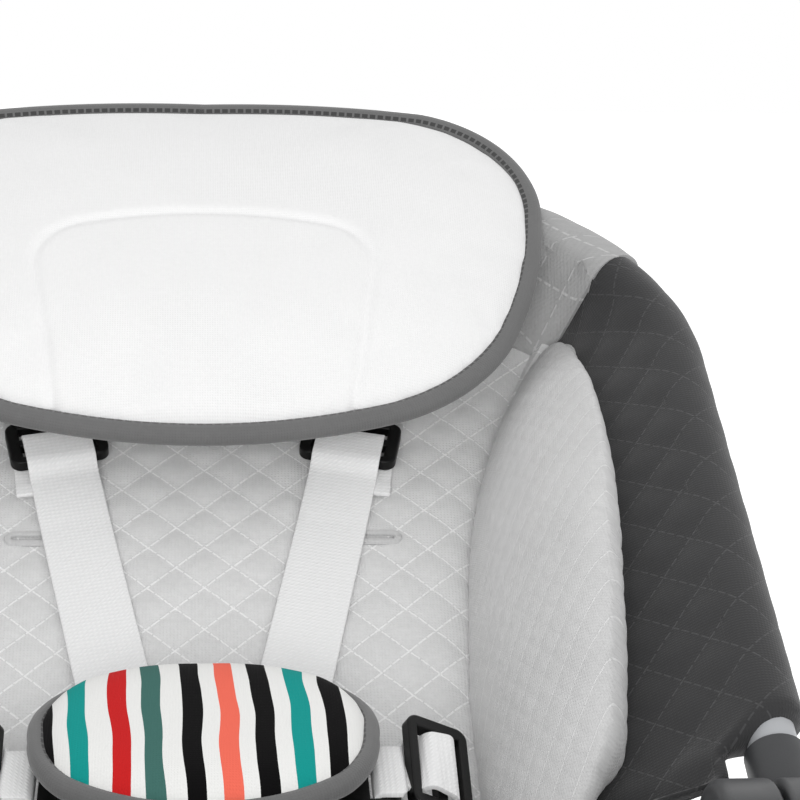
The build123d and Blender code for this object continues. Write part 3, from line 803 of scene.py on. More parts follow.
def arc_points(start: Point, middle: Point, end: Point) -> Array:
    """Points of the arc through three points, the last one left out."""
    a, b, c = (complex(*point) for point in (start, middle, end))
    w = (c - a) / (b - a)
    centre = (b - a) * (w - abs(w) ** 2) / (2j * w.imag) + a
    turn = np.angle((c - centre) / (a - centre))
    shares = np.linspace(0, 1, OUTLINE_POINTS)[:-1]
    spots = centre + (a - centre) * np.exp(1j * turn * shares)
    return np.stack((spots.real, spots.imag), -1)


def gaps(points: Array, line: Array) -> Array:
    """How far each flat point is from the nearest point of a line."""
    found = np.full(len(points), np.inf)
    for spot in line:
        found = np.minimum(found, np.hypot(*(points - spot).T))
    return found


def copy_of(node: str, name: str) -> Piece:
    """A new object with a CAD node's mesh, its loose triangles joined."""
    obj = bpy.data.objects.new(name, frame["nodes"][node].data.copy())
    bpy.context.scene.collection.objects.link(obj)
    obj.data.materials.clear()
    close(obj)
    return obj


def stuffed(
    node: str, name: str, voxel: float, cap: float, sewn: Callable[[Array], Array], levels: int
) -> Piece:
    """A cushion filled like a bag: a CAD cushion blown up as cloth, held where it is sewn.

    Args:
        node: The CAD cushion.
        name: The piece's name.
        voxel: The size of the cloth's faces.
        cap: How far a point may move.
        sewn: Says for each point whether it is held by a seam.
        levels: Subdivisions afterwards.

    Returns:
        The filled cushion.
    """
    obj = copy_of(node, name)
    obj.data.remesh_voxel_size = voxel
    pick_up(obj)
    bpy.ops.object.voxel_remesh()
    apply(obj, "SMOOTH", factor=SMOOTH_FACTOR, iterations=SMOOTH_ROUNDS)
    rest = points_of(obj)
    seam = obj.vertex_groups.new(name="seam")
    seam.add(np.flatnonzero(sewn(rest)).tolist(), 1.0, "REPLACE")
    bag = obj.modifiers.new("filling", "CLOTH")
    bag.settings.use_pressure = True
    bag.settings.uniform_pressure_force = FILLING_PRESSURE
    bag.settings.effector_weights.gravity = 0.0
    bag.settings.vertex_group_mass = seam.name
    for number in range(FILLING_FRAMES):
        bpy.context.scene.frame_set(number + 1)
    blown = obj.evaluated_get(bpy.context.evaluated_depsgraph_get())
    moved = points_of(blown) - rest
    far = np.linalg.norm(moved, axis=1)
    obj.modifiers.remove(bag)
    obj.vertex_groups.remove(seam)
    bpy.context.scene.frame_set(1)
    lay(obj, rest + moved * (cap / np.maximum(far, cap))[:, None])
    LOG.info("%s: filled, moved %.1f mm at most", name, far.max() / MM)
    apply(obj, "SMOOTH", factor=SMOOTH_FACTOR, iterations=SMOOTH_ROUNDS)
    apply(obj, "SUBSURF", levels=levels, render_levels=levels)
    return obj


def quilted(across: Array, along: Array, pitch: float, puff: float) -> Array:
    """How far quilting draws cloth in.

    Args:
        across: Cloth coordinates across.
        along: Cloth coordinates along.
        pitch: The diamonds' diagonal.
        puff: How deep the lines of stitches lie.

    Returns:
        The move at each point: 0 in a diamond's middle, -puff on a stitch.
    """
    rising = np.abs(np.sin(math.pi * (across + along) / pitch))
    falling = np.abs(np.sin(math.pi * (across - along) / pitch))
    return puff * (rising * falling) ** QUILT_ROUNDNESS - puff


def ease(share: Array) -> Array:
    """A smooth step from 0 to 1."""
    t = np.clip(share, 0, 1)
    return t * t * (3 - 2 * t)


def dressed(obj: Piece, finish: Finish) -> None:
    """Gives a piece its finish and smooth faces."""
    obj.data.materials.clear()
    obj.data.materials.append(finish.material())
    pick_up(obj)
    bpy.ops.object.shade_smooth_by_angle(angle=SMOOTH_ANGLE)
    LOG.info("%s: %d faces, %s", obj.name, len(obj.data.polygons), finish.name)


# Places


@dataclass(frozen=True)
class Slope:
    """A sloping plane over the mid-plane: x across, y up the slope and z over the sitter."""

    origin: Array
    angle: float

    @property
    def along(self) -> Array:
        """The direction up the slope."""
        return np.array((0.0, math.cos(self.angle), math.sin(self.angle)))

    @property
    def over(self) -> Array:
        """The plane's normal, over the sitter."""
        return np.array((0.0, -math.sin(self.angle), math.cos(self.angle)))

    def place(self, x: Array, y: Array, z: Array | float) -> Array:
        """Points of the row frame from places on the slope."""
        x, y, z = np.broadcast_arrays(x, y, z)
        return self.origin + self.aim(x, y) + z[:, None] * self.over

    def aim(self, x: Array, y: Array) -> Array:
        """Directions of the row frame from directions in the plane."""
        return x[:, None] * ACROSS + y[:, None] * self.along

    def local(self, points: Array) -> Array:
        """Places on the slope, x, y and z, from points of the row frame."""
        return (points - self.origin) @ np.stack((ACROSS, self.along, self.over), 1)


HUB = np.array(JOINTS["recline"]["pos_m"])
BEND = np.array(JOINTS["bounce"]["pos_m"])
PAD_DEPTH = 46 * MM
SEAT_ANGLE = math.radians(10)
HOOP_ANGLE = math.radians(26)
BACK_ANGLE = math.radians(30)
TUMMY_ANGLE = math.radians(14.5)
PILLOW_TILT = math.radians(2.6)
HOOP_DROP = math.tan(BACK_ANGLE - HOOP_ANGLE)
SLEEVE_R = 11 * MM
TUBE_R = 8.3 * MM
STRAP_SLOT_X = 57 * MM
STRAP_SLOT_Y = 252 * MM
CROTCH_SLOT = 60 * MM


@dataclass(frozen=True)
class Bed:
    """The bed that the sitter lies on, as one strip over the mid-plane.

    A place on it is x across, p along and z over the pads. p is 0 where the seat ends, and
    past the hip, which turns about the hub's axis, it runs up the back.
    """

    hip: float = PAD_DEPTH * (SEAT_ANGLE + BACK_ANGLE)

    def place(self, x: Array, p: Array, z: Array) -> Array:
        """Points of the row frame from places on the bed."""
        lean = np.interp(p, (0, self.hip), (-SEAT_ANGLE, BACK_ANGLE))
        nought = np.zeros_like(lean)
        over = np.stack((nought, -np.sin(lean), np.cos(lean)), -1)
        along = np.stack((nought, np.cos(lean), np.sin(lean)), -1)
        run = np.minimum(p, 0) + np.maximum(p - self.hip, 0)
        flat = HUB + x[:, None] * ACROSS + run[:, None] * along
        return flat + (z - PAD_DEPTH)[:, None] * over


BED = Bed()
BACK_PAD = Slope(HUB - PAD_DEPTH * Slope(HUB, BACK_ANGLE).over, BACK_ANGLE)
BACK_HOOP = Slope(HUB, HOOP_ANGLE)
SEAT_HOOP = Slope(HUB, -SEAT_ANGLE)


@dataclass(frozen=True)
class Hoops:
    """The lines of the seat hoop and the back hoop, in their planes."""

    seat_half: float = 155 * MM
    seat_length: float = 258 * MM
    seat_corner: float = 95 * MM
    back_half: float = 174.5 * MM
    straight: float = 255 * MM
    rise: float = 125 * MM
    shoulder: float = 110 * MM
    hub_half: float = 132 * MM
    hub_r: float = 30 * MM
    hub_side: float = 24 * MM
    hub_reach: float = 52 * MM
    side_blend: float = 12 * MM
    back_lead: float = 2 * MM
    back_blend: float = 16 * MM
    seat_lead: float = 12 * MM
    seat_blend: float = 26 * MM
    seat_inset: float = 7.5 * MM
    arch_start: float = 200 * MM
    arch_step: float = 1 * MM

    @property
    def top_r(self) -> float:
        """The radius of the back hoop's top."""
        side = self.back_half - self.shoulder
        over = self.rise - self.shoulder
        return (side**2 + self.rise**2 - self.shoulder**2) / (2 * over)

    @property
    def turn(self) -> float:
        """The angle through which a shoulder turns before it runs into the top."""
        return math.atan2(self.top_r - self.rise, self.back_half - self.shoulder)

    def back_x(self, s: Array, inset: float) -> Array:
        """Half the width inside the back hoop, less an inset, at a distance from the hub."""
        side = self.back_half - self.shoulder
        past = np.maximum(s - self.straight, 0)
        on_shoulder = side + np.sqrt(np.maximum((self.shoulder - inset) ** 2 - past**2, 0))
        middle = self.straight + self.rise - self.top_r
        on_top = np.sqrt(np.maximum((self.top_r - inset) ** 2 - (s - middle) ** 2, 0))
        end = (self.shoulder - inset) * math.sin(self.turn)
        return np.where(past <= end, on_shoulder, on_top)

    def seat_x(self, d: Array, inset: float) -> Array:
        """Half the width inside the seat hoop, less an inset, at a distance from the hub."""
        past = np.maximum(d - self.seat_length + self.seat_corner, 0)
        reach = np.sqrt(np.maximum((self.seat_corner - inset) ** 2 - past**2, 0))
        return self.seat_half - self.seat_corner + reach

    def edge(self, p: Array) -> tuple[Array, Array, Array]:
        """The line that the bed's sides are drawn to.

        It runs along the back hoop, passes inside the hubs, and lies on the inner side of
        the seat's sleeve.

        Args:
            p: The place along the bed.

        Returns:
            x, z, and how far the line is on the back hoop, from 0 to 1.
        """
        y = np.maximum(p - BED.hip, 0)
        d = np.maximum(-p, 0)
        back = self.back_x(y / math.cos(BACK_ANGLE - HOOP_ANGLE), 0.0)
        seat = self.seat_x(d, self.seat_inset)
        on_back = ease((y - self.hub_reach + self.back_lead) / self.back_blend)
        on_seat = ease((d - self.hub_reach + self.seat_lead) / self.seat_blend)
        beside = self.hub_half + self.hub_side * ease((y - self.hub_r) / self.side_blend)
        share, side = np.where(p > 0, on_back, on_seat), np.where(p > 0, back, seat)
        x = beside + (side - beside) * share
        z = PAD_DEPTH - y * HOOP_DROP + self.seat_inset * on_seat
        return x, z, on_back

    def back_line(self) -> tuple[Array, Array]:
        """The back hoop from above the right hub round to the left, in its plane.

        Returns:
            Points, and unit vectors out of the hoop.
        """
        corner = self.straight + self.shoulder * math.tan(self.turn / 2)
        reach = self.shoulder * math.tan(self.turn / 2) + self.top_r / math.tan(self.turn)
        peak = corner + reach * math.cos(self.turn)
        right = [(self.back_half, self.arch_start), (self.back_half, corner)]
        left = [(-x, s) for x, s in reversed(right)]
        radii = (self.shoulder, self.top_r, self.shoulder)
        line = rounded(right + [(0, peak)] + left, radii, self.arch_step)
        return line, sideways(tangents(line))

    def seat_line(self, start: float, step: float) -> Array:
        """The seat hoop in its plane, from off the right hub round to the left."""
        right = [(self.seat_half, -start), (self.seat_half, -self.seat_length)]
        left = [(-x, s) for x, s in reversed(right)]
        return rounded(right + left, (self.seat_corner, self.seat_corner), step)


HOOPS = Hoops()


def round_back_hoop(centre: Array, out: Array, radius: float, angle: Array) -> Array:
    """Points round the back hoop.

    Args:
        centre: Points on the hoop's middle line.
        out: Unit vectors out of the hoop there.
        radius: How far the points are from the line.
        angle: Their angles, from the outer side to over the sitter.

    Returns:
        Points of the row frame.
    """
    over = np.sin(angle)[:, None] * BACK_HOOP.over
    return centre + radius * (np.cos(angle)[:, None] * out + over)


# Sub-assemblies


@dataclass
class Bucket:
    """The cloth bucket: dark shell, quilted liner, head panel, bolsters and sleeves.

    The shell and the head panel wrap round the back hoop as its sleeves. The seat hoop has
    a sleeve of its own.
    """

    # The floor's rows in millimetres: places along the bed, half widths and rises
    floor_z: float = -10.6 * MM
    floor_p: tuple = (
        *(-252, -245, -238, -228, -200, -150),
        *(152, 214, 241, 270, 287, 311, 328, 345),
    )
    floor_x: tuple = (60, 68, 74, 80, 86, 90, 90, 95, 100, 108, 114, 124, 134, 144)
    floor_up: tuple = (70, 58, 40, 25, 8, 0, 0, 0, 0, 0, 0, 0, 0, 0)
    floor_soft: tuple = (-12, -6, 0, 6, 12)

    # The shell, its wings and its wrap round the back hoop
    cloth: float = 1.6 * MM
    wing_puff: float = 0.9 * MM
    seat_end: float = 250.5 * MM
    shell_half: float = 152 * MM
    corner: float = 9 * MM
    corner_least: float = 0.5 * MM
    corner_reach: float = 0.3
    steepest: float = math.radians(80)
    sine_limit: float = 0.9
    wrap_r: float = 12 * MM
    hem_r: float = 2.5 * MM
    wrap_share: float = 0.26
    wrap_turn: float = math.radians(350)
    wrap_puff: float = 0.3
    hip_blend: float = 28 * MM
    skin_share: float = 0.485

    # The seam where liner, shell and head panel meet
    back_end: float = 296 * MM
    back_end_half: float = 134 * MM
    seam_dip: float = 9 * MM
    seam_flat: float = 104 * MM
    seam_turn: float = 30 * MM
    seam_lap: float = 4 * MM
    lap_from: float = 0.8
    lap_blend: float = 0.1
    corner_share: float = 0.9
    hoop_cut: float = 312 * MM

    # The liner
    pad: float = 7 * MM
    pad_end: float = 232 * MM
    crown: float = 2 * MM
    roll: float = 7 * MM
    front_roll: float = 3 * MM
    edge_power: int = 22
    front_power: int = 60
    liner_lap: float = 3 * MM
    puff: float = 1.1 * MM
    clearance: float = 0.3 * MM
    front_p: float = -100 * MM

    # The head panel
    wrap_from: float = 0.58
    riser: float = 0.06
    riser_fade: float = 0.05
    head_lap: float = 4 * MM
    head_gap: float = 0.8 * MM
    head_lift: float = 0.5 * MM
    head_over: float = 0.3 * MM
    wing_share: float = 0.82
    wing_near: float = 0.12
    wing_rounds: int = 8
    fade_end: float = 0.95
    fade: float = 0.06
    sag: float = 4 * MM
    sag_reach: float = 60 * MM
    sag_from: float = 0.5

    # The bolsters
    bolster_puff: float = 0.4 * MM
    bolster_seam: float = 4 * MM
    bolster_voxel: float = 4 * MM
    bolster_cap: float = 3 * MM
    bolster_slant: tuple = (1.2, 0.9)

    # The seat hoop's sleeve
    sleeve_gap: float = 3 * MM
    sleeve_step: float = 2.6 * MM
    sleeve_cloth: float = 1.2 * MM
    sleeve_puff: float = 0.5 * MM

    # The strap slots, shoulder rows first, and the welts round them
    slot_rows: tuple = (STRAP_SLOT_Y, 192.6 * MM)
    slot_lengths: tuple = (31 * MM, 23 * MM)
    slot_widths: tuple = (8 * MM, 2.4 * MM)
    slot_floor: float = 1 * MM
    slot_edge: float = 2 * MM
    welt_out: float = 1 * MM
    welt_half: float = 1.4 * MM
    welt_thick: float = 0.8 * MM
    welt_step: float = 0.8 * MM
    welt_sink: float = 0.9 * MM

    def floor(self, p: Array) -> tuple[Array, Array]:
        """Half the width of the bed's floor and its rise, softened where its cuts meet."""
        marks = np.multiply(self.floor_p, MM)
        spots = [p + shift * MM for shift in self.floor_soft]
        half, up = (
            np.mean([np.interp(spot, marks, column) for spot in spots], 0) * MM
            for column in (self.floor_x, self.floor_up)
        )
        return half, up

    def wrapping(self, share: Array) -> Array:
        """How far the section has turned round the hoop at a place in it."""
        return np.clip((share - 1 + self.wrap_share) / self.wrap_share, 0, 1) * self.wrap_turn

    def section(self, share: Array, p: Array) -> tuple[Array, Array, Array]:
        """One half of the shell's section: a flat floor, a wing and a wrap round the hoop.

        Args:
            share: The place in it, from 0 on the mid-plane to 1 at the end of the wrap.
            p: The place along the bed.

        Returns:
            The inner face's x and z, and the cloth's own length from the mid-plane.
        """
        half, _, lean, reach = self.wing(p)
        hoop_x, hoop_z, near = HOOPS.edge(p)
        radius = self.hem_r + (self.wrap_r - self.hem_r) * near
        flat = np.clip(share / (1 - self.wrap_share), 0, 1)
        x = flat * (half + reach * np.cos(lean))
        z = self.shell_z(x, p)
        turned = self.wrapping(share)
        angle = lean + math.pi / 2 - turned
        slant = (1 / np.cos(lean) - 1) * np.maximum(x - half, 0)
        length = x + slant + turned * radius
        x = np.where(turned > 0, hoop_x + radius * np.cos(angle), x)
        z = np.where(turned > 0, hoop_z + radius * np.sin(angle), z)
        return x, z, length

    def wing(self, p: Array) -> tuple[Array, Array, Array, Array]:
        """A wing, from the floor up to where it touches the hoop's wrap.

        Args:
            p: The place along the bed.

        Returns:
            Its foot across and above the pad, its lean and its reach.
        """
        half, up = self.floor(p)
        low = self.floor_z + up
        hoop_x, hoop_z, near = HOOPS.edge(p)
        radius = self.hem_r + (self.wrap_r - self.hem_r) * near
        far = np.hypot(hoop_x - half, hoop_z - low)
        touch = np.arcsin(np.clip(radius / far, 0, self.sine_limit))
        lean = np.minimum(np.arctan2(hoop_z - low, hoop_x - half) + touch, self.steepest)
        return half, low, lean, np.sqrt(np.maximum(far**2 - radius**2, 0))

    def shell_z(self, x: Array, p: Array) -> Array:
        """The height of the shell's inner face over its floor and wings."""
        half, low, lean, reach = self.wing(p)
        soft = np.clip(self.corner_reach * reach, self.corner_least, self.corner)
        return low + np.tan(lean) * (x - half + np.sqrt((x - half) ** 2 + soft**2)) / 2

    def seam_y(self, x: Array) -> Array:
        """How far up the back the liner's seam lies. Its corners are lowest."""
        corner = ease((x - self.seam_flat) / self.seam_turn)
        return self.back_end + self.seam_dip * (1 - corner)

    def shell_end(self, share: Array) -> Array:
        """How far up the back the shell ends.

        It ends at the liner's seam, under the head panel's edge and square to the hoop.

        Args:
            share: The place in the section, as for `section`.

        Returns:
            Distances up the back.
        """
        past = self.hoop_cut - HOOPS.straight
        slant = past / math.sqrt(HOOPS.shoulder**2 - past**2)
        _, _, lean, _ = self.wing(np.full_like(share, BED.hip + self.hoop_cut))
        angle = lean + math.pi / 2 - self.wrapping(share)
        on_hoop = self.hoop_cut + slant * self.wrap_r * np.cos(angle)
        flat = np.minimum(share / (1 - self.wrap_share), 1)
        low = self.seam_y(flat * self.shell_half)
        under = self.seam_lap * ease((flat - self.lap_from) / self.lap_blend)
        to_hoop = np.clip((flat - self.corner_share) / (1 - self.corner_share), 0, 1)
        return low + under + (on_hoop - low) * to_hoop

    def shell(self) -> None:
        """The dark outer cloth of seat, hip and back, one quilted sheet with wings."""
        obj, u, v = grid("shell", across=196, along=216)
        share = np.abs(u)
        end = BED.hip + self.shell_end(share)
        p = -self.seat_end + (v + 1) / 2 * (self.seat_end + end)
        x, z, length = self.section(share, p)
        lay(obj, BED.place(np.sign(u) * x, p, z))
        across = np.sign(u) * length
        mark(obj, across, p)
        _, _, near = HOOPS.edge(p)
        taut = np.where(share > 1 - self.wrap_share, self.wrap_puff * near, 1.0)
        push(obj, quilted(across, p, WING_QUILT, self.wing_puff) * taut)
        apply(obj, "SOLIDIFY", thickness=self.cloth, offset=-1.0, use_even_offset=False)
        dressed(obj, CHARCOAL_QUILTING)
        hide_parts("seat_sling", "back_sling", "back_tunnel_left", "back_tunnel_right")
        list(self.hip_line())
        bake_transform(obj)

    def area(self, obj: Piece) -> float:
        """A sheet's area as cut: half its skin, less what the quilting takes up."""
        return self.skin_share * sum(face.area for face in obj.data.polygons)

    def hip_line(self) -> tuple[Array, Array]:
        """The start and end of the stretch in which cloth turns from seat to back."""
        nought = np.zeros(2)
        ends = np.array((-self.hip_blend, BED.hip + self.hip_blend))
        start, end = BED.place(nought, ends, nought)
        return start, end

    def slots(self) -> list[tuple[float, float, float, float]]:
        """The strap slots, across and along the bed, with their lengths and widths."""
        sizes = list(zip(self.slot_lengths, self.slot_widths))
        shoulder = [
            (side.value * STRAP_SLOT_X, BED.hip + row, *size)
            for row, size in zip(self.slot_rows, sizes)
            for side in Side
        ]
        return shoulder + [(0.0, -CROTCH_SLOT, *sizes[0])]

    def slot_depth(self, across: Array, along: Array) -> Array:
        """How far the slots press the liner's face in at each place."""
        depth = np.zeros_like(across)
        for x, p, length, width in self.slots():
            run = (length - width) / 2
            beside = np.maximum(np.abs(across - x) - run, 0)
            gap = np.hypot(beside, along - p) - width / 2
            most = min(width, self.pad - self.slot_floor)
            depth = np.maximum(depth, most * ease(0.5 - gap / self.slot_edge))
        return depth

    def rest_on_shell(self, obj: Piece, across: Array, along: Array) -> None:
        """Lifts what lies under the shell's inner face up to it.

        Args:
            obj: The piece.
            across: Each vertex's x on the bed.
            along: Each vertex's place along the bed, before its front was rolled in.
        """
        points = points_of(obj)
        along = np.where(along < self.front_p, SEAT_HOOP.local(points)[:, 1], along)
        base = BED.place(across, along, np.zeros_like(across))
        over = BED.place(across, along, np.ones_like(across)) - base
        height = np.sum((points - base) * over, 1)
        lifted = np.maximum(height, self.shell_z(np.abs(across), along) + self.clearance)
        lay(obj, points + (lifted - height)[:, None] * over)

    def liner(self) -> None:
        """The light quilted liner of seat, hip and back, one pad with strap slots."""
        obj, u, v = grid("liner", across=120, along=320)
        end = BED.hip + self.seam_y(np.abs(u) * self.back_end_half)
        p = -self.pad_end + (v + 1) / 2 * (self.pad_end + end)
        half, up = self.floor(p)
        x = u * (half + self.liner_lap)
        edge = np.abs(u) ** self.edge_power
        front = np.abs(v) ** self.front_power * (v < 0)
        z = up - self.crown * u**2 - self.roll * edge - self.front_roll * front
        lay(obj, BED.place(x, p, z))
        mark(obj, x, p)
        slots = self.slot_depth(x, p)
        puff = np.where(slots > 0, 0.0, quilted(x, p, QUILT, self.puff))
        push(obj, puff * (1 - edge) * (1 - front) - slots)
        apply(obj, "SOLIDIFY", thickness=self.pad, offset=-1.0)
        self.rest_on_shell(obj, *marked(obj))
        dressed(obj, GREY_QUILTING)
        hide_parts("seat_pad", "back_pad")
        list(self.hip_line())
        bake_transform(obj)

    def welts(self) -> None:
        """The close rows of stitches round the strap slots."""
        turns = np.linspace(0, 2 * math.pi, OUTLINE_TURNS, endpoint=False)
        for number, (x, p, length, width) in enumerate(self.slots()):
            run, out = (length - width) / 2, width / 2 + self.welt_out
            rim_x = np.cos(turns) * out + np.sign(np.cos(turns)) * run
            loop = even(np.stack((rim_x, np.sin(turns) * out), -1), self.welt_step)
            name = f"slot_welt_{number + 1}"
            obj = band(name, loop, self.welt_half, self.welt_thick, sides=8)
            rim = points_of(obj)
            lay(obj, BED.place(rim[:, 0] + x, p + rim[:, 1], rim[:, 2] - self.welt_sink))
            dressed(obj, GREY_PLAIN)
            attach(obj, Body.BACKREST if p > 0 else Body.SEAT)

    def arch(self, u: Array) -> tuple[Array, Array]:
        """The part of the back hoop that the head panel wraps round.

        Args:
            u: Shares across the panel, from -1 to 1.

        Returns:
            Points on the hoop's middle line and unit vectors out of it, one for each share.
        """
        line, outward = HOOPS.back_line()
        up_back = line[:, 1] * math.cos(BACK_ANGLE - HOOP_ANGLE)
        kept = up_back >= self.hoop_cut - self.seam_lap
        line, outward = line[kept], outward[kept]
        share = run_lengths(line) / run_lengths(line)[-1]
        hoop_x, hoop_y, out_x, out_y = (
            np.interp((1 - u) / 2, share, column) for column in (*line.T, *outward.T)
        )
        return BACK_HOOP.place(hoop_x, hoop_y, 0.0), BACK_HOOP.aim(out_x, out_y)

    def over_wing(self, x: Array, y: Array, z: Array) -> Array:
        """Heights of the head panel, lifted where it would lie inside a wing."""
        row = BED.hip + np.minimum(y, self.hoop_cut)
        foot, _, lean, reach = self.wing(row)
        wing_x = np.minimum(np.abs(x), foot + reach * np.cos(lean))
        short = np.maximum(self.shell_z(wing_x, row) + self.head_lift - z, 0)
        return z + short * ease((self.hoop_cut + self.seam_lap - y) / (2 * self.seam_lap))

    def head_panel(self) -> None:
        """The light cloth from the liner up to the arch and round it, lapped over the wings."""
        obj, u, v = grid("head_panel_cloth", across=176, along=84)
        centre, out = self.arch(u)
        foot_x = u * (self.back_end_half + self.head_lap)
        foot_y = self.seam_y(np.abs(foot_x)) + self.head_gap
        shell = self.shell_z(np.abs(foot_x), foot_y + BED.hip)
        pad = -self.crown * (foot_x / self.back_end_half) ** 2
        foot_z = np.maximum(shell, pad) + self.head_lift
        foot = BACK_PAD.place(foot_x, foot_y, foot_z)
        ahead, above = np.sum((centre - foot) * out, 1), (centre - foot) @ BACK_HOOP.over
        radius = self.wrap_r + self.head_over
        touch_angle = np.arcsin(radius / np.hypot(ahead, above)) + math.pi / 2
        first = np.arctan2(above, ahead) + touch_angle
        rise = (v + 1) / 2
        t = np.clip((rise - self.riser) / (self.wrap_from - self.riser), 0, 1)
        turned = np.clip((rise - self.wrap_from) / (1 - self.wrap_from), 0, 1) * self.wrap_turn
        ring = round_back_hoop(centre, out, radius, first - turned)
        touch = round_back_hoop(centre, out, radius, first)
        x, y, z = BACK_PAD.local(foot + t[:, None] * (touch - foot)).T
        reach = np.linalg.norm(touch - foot, axis=1)
        slack = np.clip(reach / self.sag_reach - self.sag_from, 0, 1)
        z = z - self.sag * slack * (1 - (2 * t - 1) ** 2)
        sheet = BACK_PAD.place(x, y, self.over_wing(x, y, z))
        sunk = shell - self.cloth
        under = BACK_PAD.place(foot_x, foot_y, sunk + (foot_z - sunk) * rise / self.riser)
        low, wrapped = rise < self.riser, turned > 0
        lay(obj, np.where(low[:, None], under, np.where(wrapped[:, None], ring, sheet)))
        at_wing = np.abs(np.abs(u) - self.wing_share) < self.wing_near
        at_wing &= np.abs(rise - self.wrap_from) < self.wing_near
        group = obj.vertex_groups.new(name="over_wing")
        group.add(np.flatnonzero(at_wing).tolist(), 1.0, "REPLACE")
        rounds = {"factor": SMOOTH_FACTOR, "iterations": self.wing_rounds}
        apply(obj, "SMOOTH", **rounds, vertex_group=group.name)
        across, along = x, y + BED.hip + turned * radius
        mark(obj, across, along)
        soft = ease((self.fade_end - np.abs(u)) / self.fade)
        soft *= ease((rise - self.riser) / self.riser_fade)
        soft *= np.where(low, 0.0, np.where(wrapped, self.wrap_puff, 1.0))
        push(obj, quilted(across, along, QUILT, self.puff) * soft)
        apply(obj, "SOLIDIFY", thickness=self.cloth, offset=-1.0, use_even_offset=False)
        close(obj)
        # A darker grey copy of the light cloth: painted shade.
        dressed(obj, SHADED_HEAD_QUILTING)
        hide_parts("head_panel", "head_tunnel")
        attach(obj, Body.BACKREST)

    def bolster(self, side: Side) -> None:
        """A side bolster: a filled leaf between the liner's seam and the wing, quilted."""

        def sewn(points: Array) -> Array:
            x, y, z = BACK_PAD.local(points).T
            return z < self.shell_z(np.abs(x), y + BED.hip) + self.bolster_seam

        node = f"bolster_{side.word}"
        voxel, cap = self.bolster_voxel, self.bolster_cap
        obj = stuffed(node, f"side_{node}", voxel, cap, sewn, levels=2)
        x, y, z = BACK_PAD.local(points_of(obj)).T
        across = np.abs(x) * self.bolster_slant[0] + z * self.bolster_slant[1]
        mark(obj, across, y)
        push(obj, quilted(across, y, BOLSTER_QUILT, self.bolster_puff))
        x, y, _ = BACK_PAD.local(points_of(obj)).T
        self.rest_on_shell(obj, x, y + BED.hip)
        dressed(obj, GREY_CHANNELS)
        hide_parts(f"bolster_{side.word}")
        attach(obj, Body.BACKREST)

    def seat_sleeve(self) -> None:
        """The cloth sleeve on the seat hoop, quilted as the shell is, its ends turned in."""
        line = HOOPS.seat_line(HOOPS.hub_reach + self.sleeve_gap, self.sleeve_step)
        path = SEAT_HOOP.place(line[:, 0], line[:, 1], 0.0)
        path = np.concatenate((path[:1], path, path[-1:]))
        path[0] += (path[0] - path[2]) * HAIR
        path[-1] += (path[-1] - path[-3]) * HAIR
        radii = np.full(len(path), SLEEVE_R)
        radii[0] = radii[-1] = TUBE_R
        obj = sweep("seat_sleeve", path, SEAT_HOOP.over, radii, sides=40)
        push(obj, quilted(*marked(obj), WING_QUILT, self.sleeve_puff))
        apply(obj, "SOLIDIFY", thickness=self.sleeve_cloth, offset=-1.0)
        dressed(obj, CHARCOAL_QUILTING)
        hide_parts("seat_tunnel")
        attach(obj, Body.SEAT)

    def build(self) -> None:
        """Makes the whole bucket."""
        self.shell()
        self.liner()
        self.welts()
        self.head_panel()
        for side in Side:
            self.bolster(side)
        self.seat_sleeve()


